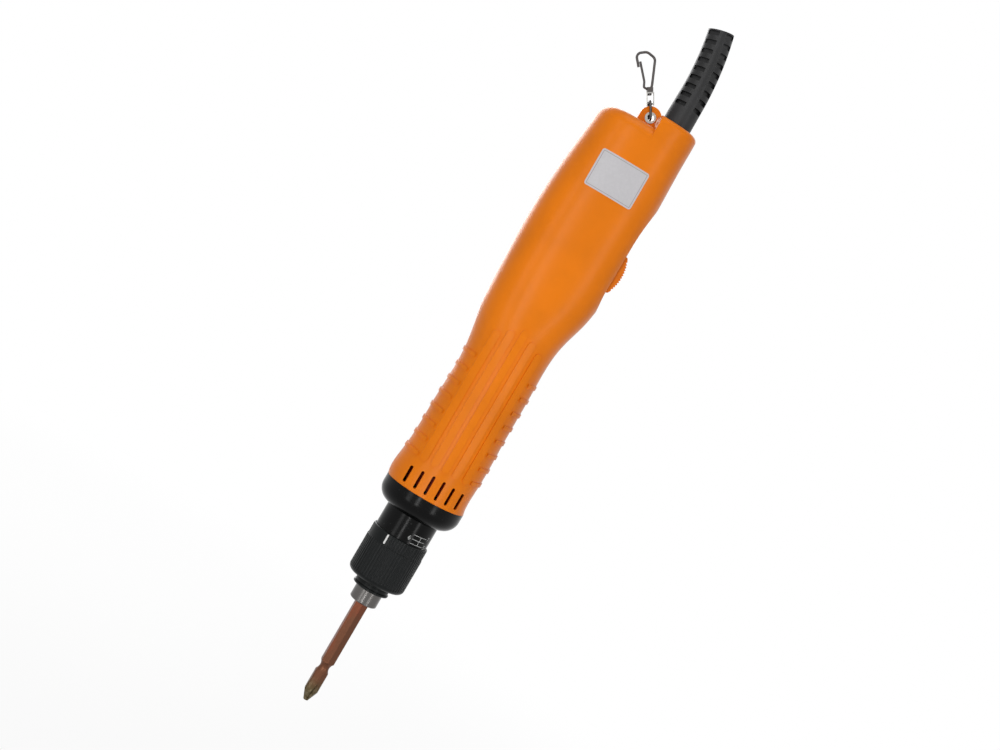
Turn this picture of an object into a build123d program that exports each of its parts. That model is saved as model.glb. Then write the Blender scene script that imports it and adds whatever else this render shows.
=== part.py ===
from build123d import *
from math import acos, asin, copysign, cos, degrees, pi, radians, sin, tan
import os

os.makedirs("parts", exist_ok=True)

# Millimetres. Z runs up the tool from the mouth of the chuck sleeve, on the axis of the bit.
# X points to the side with the direction knob, and the front faces -Y.

# Clearances
turn_gap = 0.05
slide_gap = 0.15
fit_gap = 0.02
lay_gap = 0.3
wire_gap = 0.12
parting_gap = 0.02

# Bit
bit_hex = 6.35
bit_length = 82.0
bit_reach = 54.6
bit_turn = -24.0
bit_head_radius = 3.45
bit_shank_radius = 3.75
bit_groove_radius = 2.45
bit_groove_back = 18.6
bit_groove_length = 5.5
bit_cone_length = 5.6
bit_flat_radius = 1.15
bit_flute_length = 11.5
bit_web_radius = 0.75

# Chuck
spindle_radius = 5.0
spindle_nose = 0.6
spindle_top = 33.5
tail_hex = 5.0
tail_top = 42.4
flange_radius = 6.8
flange_low = 16.6
flange_height = 1.0
ball_radius = 1.5
sleeve_radius = 6.95
sleeve_height = 13.0
sleeve_stroke = 3.0
clip_radius = 5.8
clip_low = 1.2
clip_height = 0.7
clip_groove_depth = 0.4
chuck_wire = 0.6
chuck_turns = 4

# Gear case and its nose
nose_bore_radius = 7.15
nose_radius = 9.0
nose_end_radius = 8.0
nose_low = 7.0
nose_step = 11.3
bush_low = 21.0
bush_radius = 6.2
web_low = 33.0
web_height = 3.2
case_radius = 13.45
case_wall = 1.25
case_top = 61.0
case_flange_radius = 17.4
case_flange_low = 52.1
case_flange_height = 2.5
lock_ring_radius = 9.2
lock_ring_low = 7.3

# Torque setting
nut_low = 11.5
nut_radius = 14.7
nut_band_radius = 14.45
nut_band_low = 28.8
nut_top = 36.8
nut_hub_height = 5.5
nut_corner = 2.7
nut_flutes = 48
nut_flute_depth = 0.4
seat_height = 1.2
plate_height = 1.5
clutch_wire = 1.7
clutch_turns = 4
clutch_pins_count = 6
clutch_pin_radius = 1.15

# Gears
module = 0.45
sun_teeth = 12
planet_teeth = 18
ring_teeth = 48
pressure_angle = 20.0
backlash = 0.08
addendum = 0.85
dedendum = 1.25
planet_count = 3
planet_height = 5.8
carrier_height = 2.1
carrier_radius = 9.3
planet_pin_radius = 1.2
bearing_radius = 8.0
bearing_height = 5.0
hub_radius = 4.0
gear_gap = 0.3

# Motor
motor_radius = 14.5
motor_wall = 1.0
cover_height = 2.0
motor_length = 57.0
shaft_radius = 2.5
shaft_bore_radius = 1.0
motor_bearing_radius = 6.5
motor_bearing_height = 4.0
rotor_radius = 11.2
rotor_height = 30.0
rotor_slots = 7
winding_height = 4.0
magnet_wall = 1.7
magnet_span = 130.0
commutator_radius = 5.0
commutator_height = 6.0
bell_height = 6.0

# Start switch
rod_radius = 0.8
rod_top = 131.0
plunger_radius = 1.5
plunger_collar = 3.2
plunger_length = 10.0
switch_low = 138.5
switch_height = 14.0
switch_width = 20.0
switch_depth = 8.0

# Housing
seam = 60.0
wall = 2.3
grip_relief = 0.55
spigot_radius = 17.9
spigot_wall = 2.2
spigot_step = 1.5
cap_low = 48.3
cap_radius = 20.65
cap_corner = 7.5
shoulder_top = 261.7
boss_top = 268.4
boss_left = 4.6
left_corner = 6.0
right_corner = 2.4
step_corner = 2.6
ridge_pitch = 5.65
ridge_width = 3.6
ridge_low = 75.0
ridge_top = 151.0
ridge_fall = 3.2
rib_count = 8
rib_low = 76.6
rib_pitch = 7.53
rib_width = 1.9
rib_inner = 14.4
vent_pitch = 5.47
vent_width = 1.5
vent_low = 61.8
vent_top = 71.9
vent_count = 6

# Direction knob in its recess
recess_floor = 23.8
recess_lip = 28.0
recess_reach = 45.0
recess_low = 174.0
recess_top = 230.0
knob_middle = 194.95
knob_length = 19.1
knob_reach = 4.1
knob_width = 9.0
knob_travel = 3.0
knob_teeth = 12
neck_length = 10.0
neck_width = 4.4

# Ear, eyelet and hanging chain
ear_x = 1.65
ear_z = 266.3
ear_radius = 5.4
ear_depth = 4.0
eyelet_radius = 2.05
eyelet_bore = 1.65
eyelet_flange = 2.7
eyelet_lip = 0.35
chain_lean = 31.0
link_wire = 0.55
link_length = 7.7
strap_top = 12.0
strap_width = 3.2
strap_sheet = 0.6
strap_half = 1.9
strap_pin_radius = 0.45
stud_radius = 0.7
stud_head = 1.1
stud_head_height = 0.8
hook_wire = 0.6
gate_pin = 0.4

# Strain relief
relief_x = 14.5
relief_base_radius = 7.4
relief_end_radius = 6.25
relief_flange_radius = 9.2
relief_flange_height = 2.6
relief_straight = 283.6
relief_bend = 147.0
relief_turn = 13.4
relief_bore = 4.0
relief_throat = 3.5
relief_socket = 8.0
relief_rows = 9
relief_row_low = 279.4
relief_row_pitch = 4.6
relief_notch = 2.1
relief_core = 5.0

# Fasteners and board
screw_radius = 1.4
screw_head = 2.8
screw_head_height = 1.8
post_radius = 3.3
screw_places = [(-17.5, 160.0), (16.0, 162.0), (-14.0, 252.5), (20.0, 238.0)]
board_y = 6.0
board_thickness = 1.6
board_low = 184.0
board_top = 244.0
board_left = -17.5
board_right = 9.5
board_screws = [(-15.0, 188.0), (-13.0, 240.0)]
capacitor_radius = 5.5
capacitor_length = 15.0
capacitor_places = [(-9.0, 198.0), (-9.0, 212.0)]
transformer_place = (-5.0, 230.0)
transformer_width = 20.0
transformer_length = 16.0
transformer_depth = 14.0
transformer_chamfer = 1.5
sink_place = (4.0, 204.0)
sink_width = 6.0
sink_length = 22.0
sink_depth = 12.0
sink_pitch = 7.0
sink_slot_depth = 3.2
sink_slot_width = 5.0


def section(left, right, depth, power, grow=0.0, points=8):
    """Points of a rounded section, between a left and a right side and a half depth."""
    middle = (left + right) / 2
    half = (right - left) / 2 + grow
    outline = []
    for step in range(points):
        turn = radians(90 + 360 * step / points)
        across = copysign(abs(cos(turn)) ** (2 / power), cos(turn))
        deep = copysign(abs(sin(turn)) ** (2 / power), sin(turn))
        outline.append((middle + half * across, (depth + grow) * deep))
    return outline


# Height, left side, right side, half depth and squareness of the housing
housing_stations = [
    (60.0, -20.5, 20.6, 20.5, 2.0),
    (78.0, -19.85, 20.25, 19.8, 2.0),
    (96.0, -19.35, 19.95, 19.3, 2.0),
    (114.0, -18.9, 19.75, 18.95, 2.0),
    (130.0, -19.2, 19.5, 19.0, 2.05),
    (146.0, -21.8, 19.7, 19.5, 2.2),
    (162.0, -23.75, 23.3, 20.1, 2.4),
    (178.0, -24.5, 26.3, 20.4, 2.5),
    (196.0, -24.9, 26.75, 20.4, 2.5),
    (214.0, -24.6, 26.95, 20.1, 2.5),
    (232.0, -23.25, 27.0, 19.5, 2.5),
    (251.0, -21.2, 26.5, 18.5, 2.5),
    (270.0, -18.3, 26.1, 17.0, 2.5),
]


def gear_outline(teeth, tip, root, thickness, turn=0.0):
    """Points of a gear with involute flanks; thickness is that of a tooth on the pitch circle."""
    pitch = module * teeth / 2
    base = pitch * cos(radians(pressure_angle))

    def half_angle(radius):
        """Half of the tooth's angle at a radius."""
        lean = radians(pressure_angle)
        here = acos(min(1.0, base / radius))
        return thickness / (2 * pitch) + (tan(lean) - lean) - (tan(here) - here)

    low = max(root, base)
    outline = []
    for tooth in range(teeth):
        middle = radians(turn) + 2 * pi * tooth / teeth
        flank = [(root, half_angle(low)), (pitch, half_angle(pitch)), (tip, half_angle(tip))]
        for radius, half in flank:
            outline.append((radius * cos(middle - half), radius * sin(middle - half)))
        for radius, half in reversed(flank):
            outline.append((radius * cos(middle + half), radius * sin(middle + half)))
    return outline


def toothed(teeth, turn=0.0):
    """Outline of an outside gear."""
    pitch = module * teeth / 2
    tip = pitch + addendum * module
    root = pitch - dedendum * module
    return gear_outline(teeth, tip, root, pi * module / 2 - backlash, turn)


def coil(radius, wire, low, high, turns):
    """The path of a compression spring of square wire between two heights, and its first plane."""
    rise = high - low - wire
    spring_path = Helix(pitch=rise / turns, height=rise, radius=radius, center=(0, 0, low + wire / 2))
    start = Plane(origin=spring_path @ 0, x_dir=(1, 0, 0), z_dir=spring_path % 0)
    return spring_path, start


# Bit
bit_low = -bit_reach
bit_middle = bit_low + bit_length / 2
bit_top = bit_low + bit_length
groove_middle = bit_low + bit_groove_back
with BuildPart() as flute:
    with BuildSketch(Plane.XY.offset(bit_low - 0.1)):
        Polygon((bit_web_radius, 0), (bit_web_radius + 6, 6), (bit_web_radius + 6, -6), align=None)
    with BuildSketch(Plane.XY.offset(bit_low + bit_flute_length)):
        Polygon((bit_head_radius, 0), (bit_head_radius + 6, 6), (bit_head_radius + 6, -6), align=None)
    loft()

with BuildPart() as bit:
    with BuildSketch(Plane.XY.offset(bit_low)):
        RegularPolygon(bit_hex / 2, 6, major_radius=False, rotation=bit_turn)
    extrude(amount=bit_length / 2)
    with BuildSketch(Plane.XZ):
        with BuildLine():
            groove_end = groove_middle + bit_groove_length / 2
            groove_start = groove_middle - bit_groove_length / 2
            Polyline(
                (0, bit_middle),
                (0, bit_low),
                (bit_flat_radius, bit_low),
                (bit_head_radius, bit_low + bit_cone_length),
                (bit_head_radius, groove_start),
            )
            ThreePointArc(
                (bit_head_radius, groove_start),
                (bit_groove_radius, groove_middle),
                (bit_shank_radius, groove_end),
            )
            Polyline((bit_shank_radius, groove_end), (bit_shank_radius, bit_middle), (0, bit_middle))
        make_face()
    revolve(axis=Axis.Z, mode=Mode.INTERSECT)
    for quarter in range(4):
        add(flute.part, rotation=(0, 0, bit_turn + 45 + 90 * quarter), mode=Mode.SUBTRACT)
    mirror(about=Plane.XY.offset(bit_middle))
bit.part.label = "bit"
export_step(bit.part, "parts/bit.step")

# Spindle with its hexagon socket and driving tail
ball_z = bit_top - bit_groove_back
ball_place = bit_groove_radius + fit_gap + ball_radius
with BuildPart() as spindle:
    with BuildSketch(Plane.XZ):
        Polygon(
            (0, spindle_nose),
            (spindle_radius, spindle_nose),
            (spindle_radius, clip_low),
            (spindle_radius - clip_groove_depth, clip_low),
            (spindle_radius - clip_groove_depth, clip_low + clip_height),
            (spindle_radius, clip_low + clip_height),
            (spindle_radius, flange_low),
            (flange_radius, flange_low),
            (flange_radius, flange_low + flange_height),
            (spindle_radius, flange_low + flange_height),
            (spindle_radius, spindle_top),
            (0, spindle_top),
            align=None,
        )
    revolve(axis=Axis.Z)
    with BuildSketch(Plane.XY.offset(spindle_top)):
        RegularPolygon(tail_hex / 2, 6, major_radius=False)
    extrude(amount=tail_top - spindle_top)
    with BuildSketch(Plane.XY.offset(spindle_nose)):
        RegularPolygon(bit_hex / 2 + turn_gap, 6, major_radius=False, rotation=bit_turn)
    extrude(amount=bit_top + fit_gap - spindle_nose, mode=Mode.SUBTRACT)
    with BuildSketch(Plane.YZ):
        with Locations((0, ball_z)):
            Circle(ball_radius + turn_gap)
    extrude(amount=spindle_radius + 1, mode=Mode.SUBTRACT)
spindle.part.label = "spindle"
export_step(spindle.part, "parts/spindle.step")

with BuildPart() as detent_ball:
    with Locations((ball_place, 0, ball_z)):
        Sphere(ball_radius)
detent_ball.part.label = "detent_ball"
export_step(detent_ball.part, "parts/detent_ball.step")

with BuildPart() as retaining_ring:
    with BuildSketch(Plane.XY.offset(clip_low)):
        Circle(clip_radius)
        Circle(spindle_radius - clip_groove_depth, mode=Mode.SUBTRACT)
        with Locations((-spindle_radius, 0)):
            Rectangle(3, 2.4, mode=Mode.SUBTRACT)
    extrude(amount=clip_height)
retaining_ring.part.label = "retaining_ring"
export_step(retaining_ring.part, "parts/retaining_ring.step")

# Chuck sleeve: its land holds the ball in, and its recess lets the ball out
ball_reach = ball_place + ball_radius
guide_low = clip_low + clip_height
land_low = ball_z - ball_radius + fit_gap
land_top = ball_z + ball_radius
release_radius = spindle_radius + 1.3
spring_pocket = spindle_radius + 1.2
with BuildPart() as chuck_sleeve:
    with BuildSketch(Plane.XZ):
        Polygon(
            (clip_radius + slide_gap, 0),
            (sleeve_radius - 0.5, 0),
            (sleeve_radius, 0.5),
            (sleeve_radius, sleeve_height),
            (spring_pocket, sleeve_height),
            (spring_pocket, land_top),
            (ball_reach + turn_gap, land_top),
            (ball_reach + turn_gap, land_low),
            (release_radius, land_low - 0.4),
            (release_radius, land_low - sleeve_stroke + 0.2),
            (spindle_radius + turn_gap, land_low - sleeve_stroke - 0.6),
            (spindle_radius + turn_gap, guide_low),
            (clip_radius + slide_gap, guide_low),
            align=None,
        )
    revolve(axis=Axis.Z)
chuck_sleeve.part.label = "chuck_sleeve"
export_step(chuck_sleeve.part, "parts/chuck_sleeve.step")

chuck_spring_radius = (spindle_radius + spring_pocket) / 2
chuck_helix, chuck_start = coil(chuck_spring_radius, chuck_wire, land_top, flange_low, chuck_turns)
with BuildPart() as chuck_spring:
    with BuildSketch(chuck_start):
        Rectangle(chuck_wire, chuck_wire)
    sweep(path=chuck_helix, is_frenet=True)
chuck_spring.part.label = "chuck_spring"
export_step(chuck_spring.part, "parts/chuck_spring.step")

# Gear case: nose bush, web, graduated tube and flange in one turned piece
web_top = web_low + web_height
case_inner = case_radius - case_wall
bearing_low = web_top
bearing_top = bearing_low + bearing_height
pin_circle = case_inner - clutch_pin_radius - slide_gap
holder_radius = pin_circle - clutch_pin_radius - slide_gap
flange_top = case_flange_low + case_flange_height
with BuildPart() as gear_case:
    with BuildSketch(Plane.XZ):
        Polygon(
            (nose_bore_radius, nose_low),
            (nose_end_radius, nose_low),
            (nose_end_radius, nose_step),
            (nose_radius, nose_step),
            (nose_radius, web_low),
            (case_radius, web_low),
            (case_radius, case_flange_low),
            (case_flange_radius, case_flange_low),
            (case_flange_radius, flange_top),
            (case_radius, flange_top),
            (case_radius, case_top),
            (case_inner, case_top),
            (case_inner, web_top),
            (holder_radius, web_top),
            (holder_radius, bearing_top),
            (bearing_radius + fit_gap, bearing_top),
            (bearing_radius + fit_gap, bearing_low),
            (bush_radius + fit_gap, bearing_low),
            (bush_radius + fit_gap, bush_low),
            (nose_bore_radius, bush_low),
            align=None,
        )
    revolve(axis=Axis.Z)
    with BuildSketch(Plane.XY.offset(web_low)):
        with PolarLocations(pin_circle, clutch_pins_count):
            Circle(clutch_pin_radius + turn_gap)
    extrude(amount=web_height, mode=Mode.SUBTRACT)
gear_case.part.label = "gear_case"
export_step(gear_case.part, "parts/gear_case.step")

with BuildPart() as spindle_bush:
    with BuildSketch(Plane.XY.offset(bush_low)):
        Circle(bush_radius)
        Circle(spindle_radius + turn_gap, mode=Mode.SUBTRACT)
    extrude(amount=bearing_low - bush_low)
spindle_bush.part.label = "spindle_bush"
export_step(spindle_bush.part, "parts/spindle_bush.step")

with BuildPart() as lock_ring:
    with BuildSketch(Plane.XZ):
        Polygon(
            (nose_end_radius + fit_gap, lock_ring_low),
            (lock_ring_radius - 0.3, lock_ring_low),
            (lock_ring_radius, lock_ring_low + 0.3),
            (lock_ring_radius, lock_ring_low + 1.1),
            (lock_ring_radius - 0.5, lock_ring_low + 1.4),
            (lock_ring_radius - 0.5, nose_step - 1.3),
            (lock_ring_radius, nose_step - 1.0),
            (lock_ring_radius, nose_step),
            (nose_end_radius + fit_gap, nose_step),
            align=None,
        )
    revolve(axis=Axis.Z)
lock_ring.part.label = "lock_ring"
export_step(lock_ring.part, "parts/lock_ring.step")

# Torque nut: a hub on the nose bush and a fluted skirt over the graduated tube
hub_top = nut_low + nut_hub_height
skirt_bore = case_radius + slide_gap
with BuildPart() as torque_nut:
    with BuildSketch(Plane.XZ):
        with BuildLine():
            Polyline(
                (nut_radius, nut_low + nut_corner),
                (nut_radius, nut_band_low),
                (nut_band_radius, nut_band_low + 0.3),
                (nut_band_radius, nut_top - 0.4),
                (nut_band_radius - 0.4, nut_top),
                (skirt_bore, nut_top),
                (skirt_bore, hub_top),
                (nose_radius + turn_gap, hub_top),
                (nose_radius + turn_gap, nut_low),
                (nut_radius - nut_corner, nut_low),
            )
            RadiusArc(
                (nut_radius - nut_corner, nut_low), (nut_radius, nut_low + nut_corner), -nut_corner
            )
        make_face()
    revolve(axis=Axis.Z)
    with BuildSketch(Plane.XY.offset(nut_low + nut_corner / 2)):
        with PolarLocations(nut_radius + 0.3, nut_flutes):
            RegularPolygon(nut_flute_depth + 0.3, 3, rotation=180)
    extrude(amount=nut_band_low - nut_low - nut_corner / 2, mode=Mode.SUBTRACT)
torque_nut.part.label = "torque_nut"
export_step(torque_nut.part, "parts/torque_nut.step")

# Clutch: seat, spring, thrust plate and pins
seat_inner = nose_radius + slide_gap
seat_outer = skirt_bore - slide_gap
with BuildPart() as spring_seat:
    with BuildSketch(Plane.XY.offset(hub_top)):
        Circle(seat_outer)
        Circle(seat_inner, mode=Mode.SUBTRACT)
    extrude(amount=seat_height)
spring_seat.part.label = "spring_seat"
export_step(spring_seat.part, "parts/spring_seat.step")

plate_low = web_low - lay_gap - plate_height
with BuildPart() as thrust_plate:
    with BuildSketch(Plane.XY.offset(plate_low)):
        Circle(seat_outer)
        Circle(seat_inner, mode=Mode.SUBTRACT)
    extrude(amount=plate_height)
thrust_plate.part.label = "thrust_plate"
export_step(thrust_plate.part, "parts/thrust_plate.step")


spring_low = hub_top + seat_height
clutch_spring_radius = (seat_inner + seat_outer) / 2
clutch_helix, clutch_start = coil(clutch_spring_radius, clutch_wire, spring_low, plate_low, clutch_turns)
with BuildPart() as clutch_spring:
    with BuildSketch(clutch_start):
        Rectangle(clutch_wire, clutch_wire)
    sweep(path=clutch_helix, is_frenet=True)
clutch_spring.part.label = "clutch_spring"
export_step(clutch_spring.part, "parts/clutch_spring.step")

cam_low = bearing_top + 1.0
pin_tip = 0.5
with BuildPart() as clutch_pins:
    with BuildSketch(Plane.XY.offset(web_low - lay_gap)):
        with PolarLocations(pin_circle, clutch_pins_count):
            Circle(clutch_pin_radius)
    extrude(amount=cam_low + pin_tip - web_low + lay_gap)
    chamfer(clutch_pins.faces().filter_by(Plane.XY).group_by(Axis.Z)[-1].edges(), pin_tip * 0.9)
clutch_pins.part.label = "clutch_pins"
export_step(clutch_pins.part, "parts/clutch_pins.step")

# Planetary gear train, from the output end up to the motor
orbit = module * (sun_teeth + planet_teeth) / 2
ring_radius = case_inner - fit_gap
cam_height = carrier_height + gear_gap
carrier_2_low = cam_low
planets_2_low = carrier_2_low + carrier_height + gear_gap
planets_2_top = planets_2_low + planet_height
carrier_1_low = planets_2_top + gear_gap
planets_1_low = carrier_1_low + carrier_height + gear_gap
planets_1_top = planets_1_low + planet_height
ring_pitch = module * ring_teeth / 2
ring_tip = ring_pitch - addendum * module
ring_root = ring_pitch + dedendum * module
ring_space = pi * module / 2 + backlash
with BuildPart() as ring_gear:
    with BuildSketch(Plane.XY.offset(cam_low)):
        Circle(ring_radius)
        Circle(carrier_radius + gear_gap, mode=Mode.SUBTRACT)
    extrude(amount=cam_height)
    with BuildSketch(Plane.XY.offset(cam_low + cam_height)):
        Circle(ring_radius)
        Polygon(
            *gear_outline(ring_teeth, ring_root, ring_tip, ring_space, 180 / ring_teeth),
            align=None,
            mode=Mode.SUBTRACT,
        )
    extrude(amount=planets_1_top - cam_low - cam_height)
    with BuildSketch(Plane.XY.offset(cam_low)):
        with PolarLocations(pin_circle, clutch_pins_count):
            Circle(clutch_pin_radius + turn_gap)
    extrude(amount=pin_tip + fit_gap, mode=Mode.SUBTRACT)
ring_gear.part.label = "ring_gear"
export_step(ring_gear.part, "parts/ring_gear.step")

with BuildPart() as output_bearing:
    with BuildSketch(Plane.XZ):
        middle_radius = (bearing_radius + hub_radius) / 2
        Polygon(
            (hub_radius + turn_gap, bearing_low),
            (middle_radius - 1.2, bearing_low),
            (middle_radius - 1.0, bearing_low + 0.4),
            (middle_radius + 1.0, bearing_low + 0.4),
            (middle_radius + 1.2, bearing_low),
            (bearing_radius, bearing_low),
            (bearing_radius, bearing_top),
            (middle_radius + 1.2, bearing_top),
            (middle_radius + 1.0, bearing_top - 0.4),
            (middle_radius - 1.0, bearing_top - 0.4),
            (middle_radius - 1.2, bearing_top),
            (hub_radius + turn_gap, bearing_top),
            align=None,
        )
    revolve(axis=Axis.Z)
output_bearing.part.label = "output_bearing"
export_step(output_bearing.part, "parts/output_bearing.step")

hub_low = bearing_low + gear_gap
with BuildPart() as output_carrier:
    with BuildSketch(Plane.XY.offset(hub_low)):
        Circle(hub_radius)
    extrude(amount=carrier_2_low - hub_low)
    with BuildSketch(Plane.XY.offset(carrier_2_low)):
        Circle(carrier_radius)
    extrude(amount=carrier_height)
    with BuildSketch(Plane.XY.offset(hub_low)):
        RegularPolygon(tail_hex / 2 + slide_gap / 2, 6, major_radius=False)
    extrude(amount=carrier_2_low + carrier_height - hub_low, mode=Mode.SUBTRACT)
    with BuildSketch(Plane.XY.offset(carrier_2_low)):
        with PolarLocations(orbit, planet_count):
            Circle(planet_pin_radius + fit_gap)
    extrude(amount=carrier_height, mode=Mode.SUBTRACT)
output_carrier.part.label = "output_carrier"
export_step(output_carrier.part, "parts/output_carrier.step")

with BuildPart() as output_pins:
    with BuildSketch(Plane.XY.offset(carrier_2_low)):
        with PolarLocations(orbit, planet_count):
            Circle(planet_pin_radius)
    extrude(amount=planets_2_top - carrier_2_low)
output_pins.part.label = "output_pins"
export_step(output_pins.part, "parts/output_pins.step")

with BuildPart() as first_carrier:
    with BuildSketch(Plane.XY.offset(planets_2_low)):
        Polygon(*toothed(sun_teeth), align=None)
    extrude(amount=carrier_1_low - planets_2_low)
    with BuildSketch(Plane.XY.offset(carrier_1_low)):
        Circle(carrier_radius)
    extrude(amount=carrier_height)
    with BuildSketch(Plane.XY.offset(planets_2_low)):
        Circle(shaft_bore_radius)
    extrude(amount=carrier_1_low + carrier_height - planets_2_low, mode=Mode.SUBTRACT)
    with BuildSketch(Plane.XY.offset(carrier_1_low)):
        with PolarLocations(orbit, planet_count):
            Circle(planet_pin_radius + fit_gap)
    extrude(amount=carrier_height, mode=Mode.SUBTRACT)
first_carrier.part.label = "first_carrier"
export_step(first_carrier.part, "parts/first_carrier.step")

with BuildPart() as first_pins:
    with BuildSketch(Plane.XY.offset(carrier_1_low)):
        with PolarLocations(orbit, planet_count):
            Circle(planet_pin_radius)
    extrude(amount=planets_1_top - carrier_1_low)
first_pins.part.label = "first_pins"
export_step(first_pins.part, "parts/first_pins.step")

for stage, low in (("output", planets_2_low), ("first", planets_1_low)):
    for number in range(planet_count):
        turn = 360 * number / planet_count
        place = (orbit * cos(radians(turn)), orbit * sin(radians(turn)))
        with BuildPart() as planet:
            with BuildSketch(Plane((place[0], place[1], low))):
                Polygon(*toothed(planet_teeth, turn + 180 / planet_teeth), align=None)
                Circle(planet_pin_radius + turn_gap, mode=Mode.SUBTRACT)
            extrude(amount=planet_height)
        planet.part.label = f"{stage}_planet_{number + 1}"
        export_step(planet.part, f"parts/{stage}_planet_{number + 1}.step")

# Motor
cover_low = case_top
can_low = cover_low + cover_height
can_top = can_low + motor_length
can_inner = motor_radius - motor_wall
front_wall_top = can_low + 1.5
front_bearing_top = front_wall_top + motor_bearing_height
rear_bearing_low = can_top + 0.5
rear_bearing_top = rear_bearing_low + motor_bearing_height
shaft_passage = module * sun_teeth / 2 + module + 0.3
with BuildPart() as gear_case_cover:
    with BuildSketch(Plane.XZ):
        Polygon(
            (shaft_passage, cover_low - 0.8),
            (case_inner - fit_gap, cover_low - 0.8),
            (case_inner - fit_gap, cover_low),
            (case_radius, cover_low),
            (case_radius, can_low),
            (shaft_passage, can_low),
            align=None,
        )
    revolve(axis=Axis.Z)
gear_case_cover.part.label = "gear_case_cover"
export_step(gear_case_cover.part, "parts/gear_case_cover.step")

bearing_cup = motor_bearing_radius + 1.2
with BuildPart() as motor_can:
    with BuildSketch(Plane.XZ):
        Polygon(
            (shaft_passage, can_low),
            (motor_radius, can_low),
            (motor_radius, can_top),
            (can_inner, can_top),
            (can_inner, front_wall_top),
            (bearing_cup, front_wall_top),
            (bearing_cup, front_bearing_top),
            (motor_bearing_radius + fit_gap, front_bearing_top),
            (motor_bearing_radius + fit_gap, front_wall_top),
            (shaft_passage, front_wall_top),
            align=None,
        )
    revolve(axis=Axis.Z)
motor_can.part.label = "motor_can"
export_step(motor_can.part, "parts/motor_can.step")

for name, low in (("front_bearing", front_wall_top), ("rear_bearing", rear_bearing_low)):
    with BuildPart() as motor_bearing:
        with BuildSketch(Plane.XY.offset(low)):
            Circle(motor_bearing_radius)
            Circle(shaft_radius + turn_gap, mode=Mode.SUBTRACT)
        extrude(amount=motor_bearing_height)
    motor_bearing.part.label = name
    export_step(motor_bearing.part, f"parts/{name}.step")

pinion_low = planets_1_low + 0.2
pinion_top = planets_1_top + 0.4
shaft_top = rear_bearing_top + 1.0
with BuildPart() as motor_shaft:
    with BuildSketch(Plane.XY.offset(pinion_low)):
        Polygon(*toothed(sun_teeth), align=None)
    extrude(amount=pinion_top - pinion_low)
    with BuildSketch(Plane.XY.offset(pinion_top)):
        Circle(shaft_radius)
    extrude(amount=shaft_top - pinion_top)
    with BuildSketch(Plane.XY.offset(pinion_low)):
        Circle(shaft_bore_radius)
    extrude(amount=shaft_top - pinion_low, mode=Mode.SUBTRACT)
motor_shaft.part.label = "motor_shaft"
export_step(motor_shaft.part, "parts/motor_shaft.step")

rotor_low = front_bearing_top + winding_height + 2.5
rotor_top = rotor_low + rotor_height
slot_width = 3.2
with BuildPart() as rotor_core:
    with BuildSketch(Plane.XY.offset(rotor_low)):
        Circle(rotor_radius)
        Circle(shaft_radius + fit_gap, mode=Mode.SUBTRACT)
        with PolarLocations((rotor_radius + shaft_radius) / 2 + 1.0, rotor_slots):
            Rectangle(rotor_radius - shaft_radius - 4.0, slot_width, mode=Mode.SUBTRACT)
        with PolarLocations(rotor_radius, rotor_slots):
            Rectangle(3.4, 1.0, mode=Mode.SUBTRACT)
    extrude(amount=rotor_height)
rotor_core.part.label = "rotor_core"
export_step(rotor_core.part, "parts/rotor_core.step")

with BuildPart() as windings:
    for low in (rotor_low - winding_height, rotor_top):
        with BuildSketch(Plane.XY.offset(low)):
            Circle(rotor_radius - 1.4)
            Circle(shaft_radius + 1.2, mode=Mode.SUBTRACT)
        extrude(amount=winding_height)
windings.part.label = "windings"
export_step(windings.part, "parts/windings.step")

commutator_low = rotor_top + winding_height + 0.6
with BuildPart() as commutator:
    with BuildSketch(Plane.XY.offset(commutator_low)):
        Circle(commutator_radius)
        Circle(shaft_radius + fit_gap, mode=Mode.SUBTRACT)
        with PolarLocations(commutator_radius, rotor_slots):
            Rectangle(1.6, 0.5, mode=Mode.SUBTRACT)
    extrude(amount=commutator_height)
commutator.part.label = "commutator"
export_step(commutator.part, "parts/commutator.step")

magnet_outer = can_inner - fit_gap
with BuildPart() as magnets:
    with BuildSketch(Plane.XY.offset(rotor_low - 1.5)):
        Circle(magnet_outer)
        Circle(magnet_outer - magnet_wall, mode=Mode.SUBTRACT)
        half_gap = magnet_outer * sin(radians((180 - magnet_span) / 2))
        Rectangle(2 * half_gap, 4 * magnet_outer, mode=Mode.SUBTRACT)
    extrude(amount=rotor_height + 3.0)
magnets.part.label = "magnets"
export_step(magnets.part, "parts/magnets.step")

bell_top = can_top + bell_height
brush_middle = commutator_low + commutator_height / 2
brush_size = 4.0
with BuildPart() as end_bell:
    with BuildSketch(Plane.XZ):
        Polygon(
            (motor_bearing_radius + fit_gap, can_top - 1.0),
            (can_inner - fit_gap, can_top - 1.0),
            (can_inner - fit_gap, can_top),
            (motor_radius, can_top),
            (motor_radius, can_top + 2.0),
            (bearing_cup + 0.8, can_top + 3.0),
            (bearing_cup + 0.8, bell_top),
            (shaft_radius + 0.5, bell_top),
            (shaft_radius + 0.5, rear_bearing_top),
            (motor_bearing_radius + fit_gap, rear_bearing_top),
            align=None,
        )
    revolve(axis=Axis.Z)
    with BuildSketch(Plane.XY.offset(brush_middle - brush_size / 2 - 0.8)):
        for side in (-1, 1):
            with Locations((side * (commutator_radius + 4.6), 0)):
                Rectangle(5.6, brush_size + 1.6)
    extrude(amount=can_top - 1.0 - brush_middle + brush_size / 2 + 0.8)
    with BuildSketch(Plane.XY.offset(brush_middle - brush_size / 2 - fit_gap)):
        for side in (-1, 1):
            with Locations((side * (commutator_radius + 4.6), 0)):
                Rectangle(5.6, brush_size + 2 * fit_gap)
    extrude(amount=brush_size + 2 * fit_gap, mode=Mode.SUBTRACT)
end_bell.part.label = "end_bell"
export_step(end_bell.part, "parts/end_bell.step")

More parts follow.
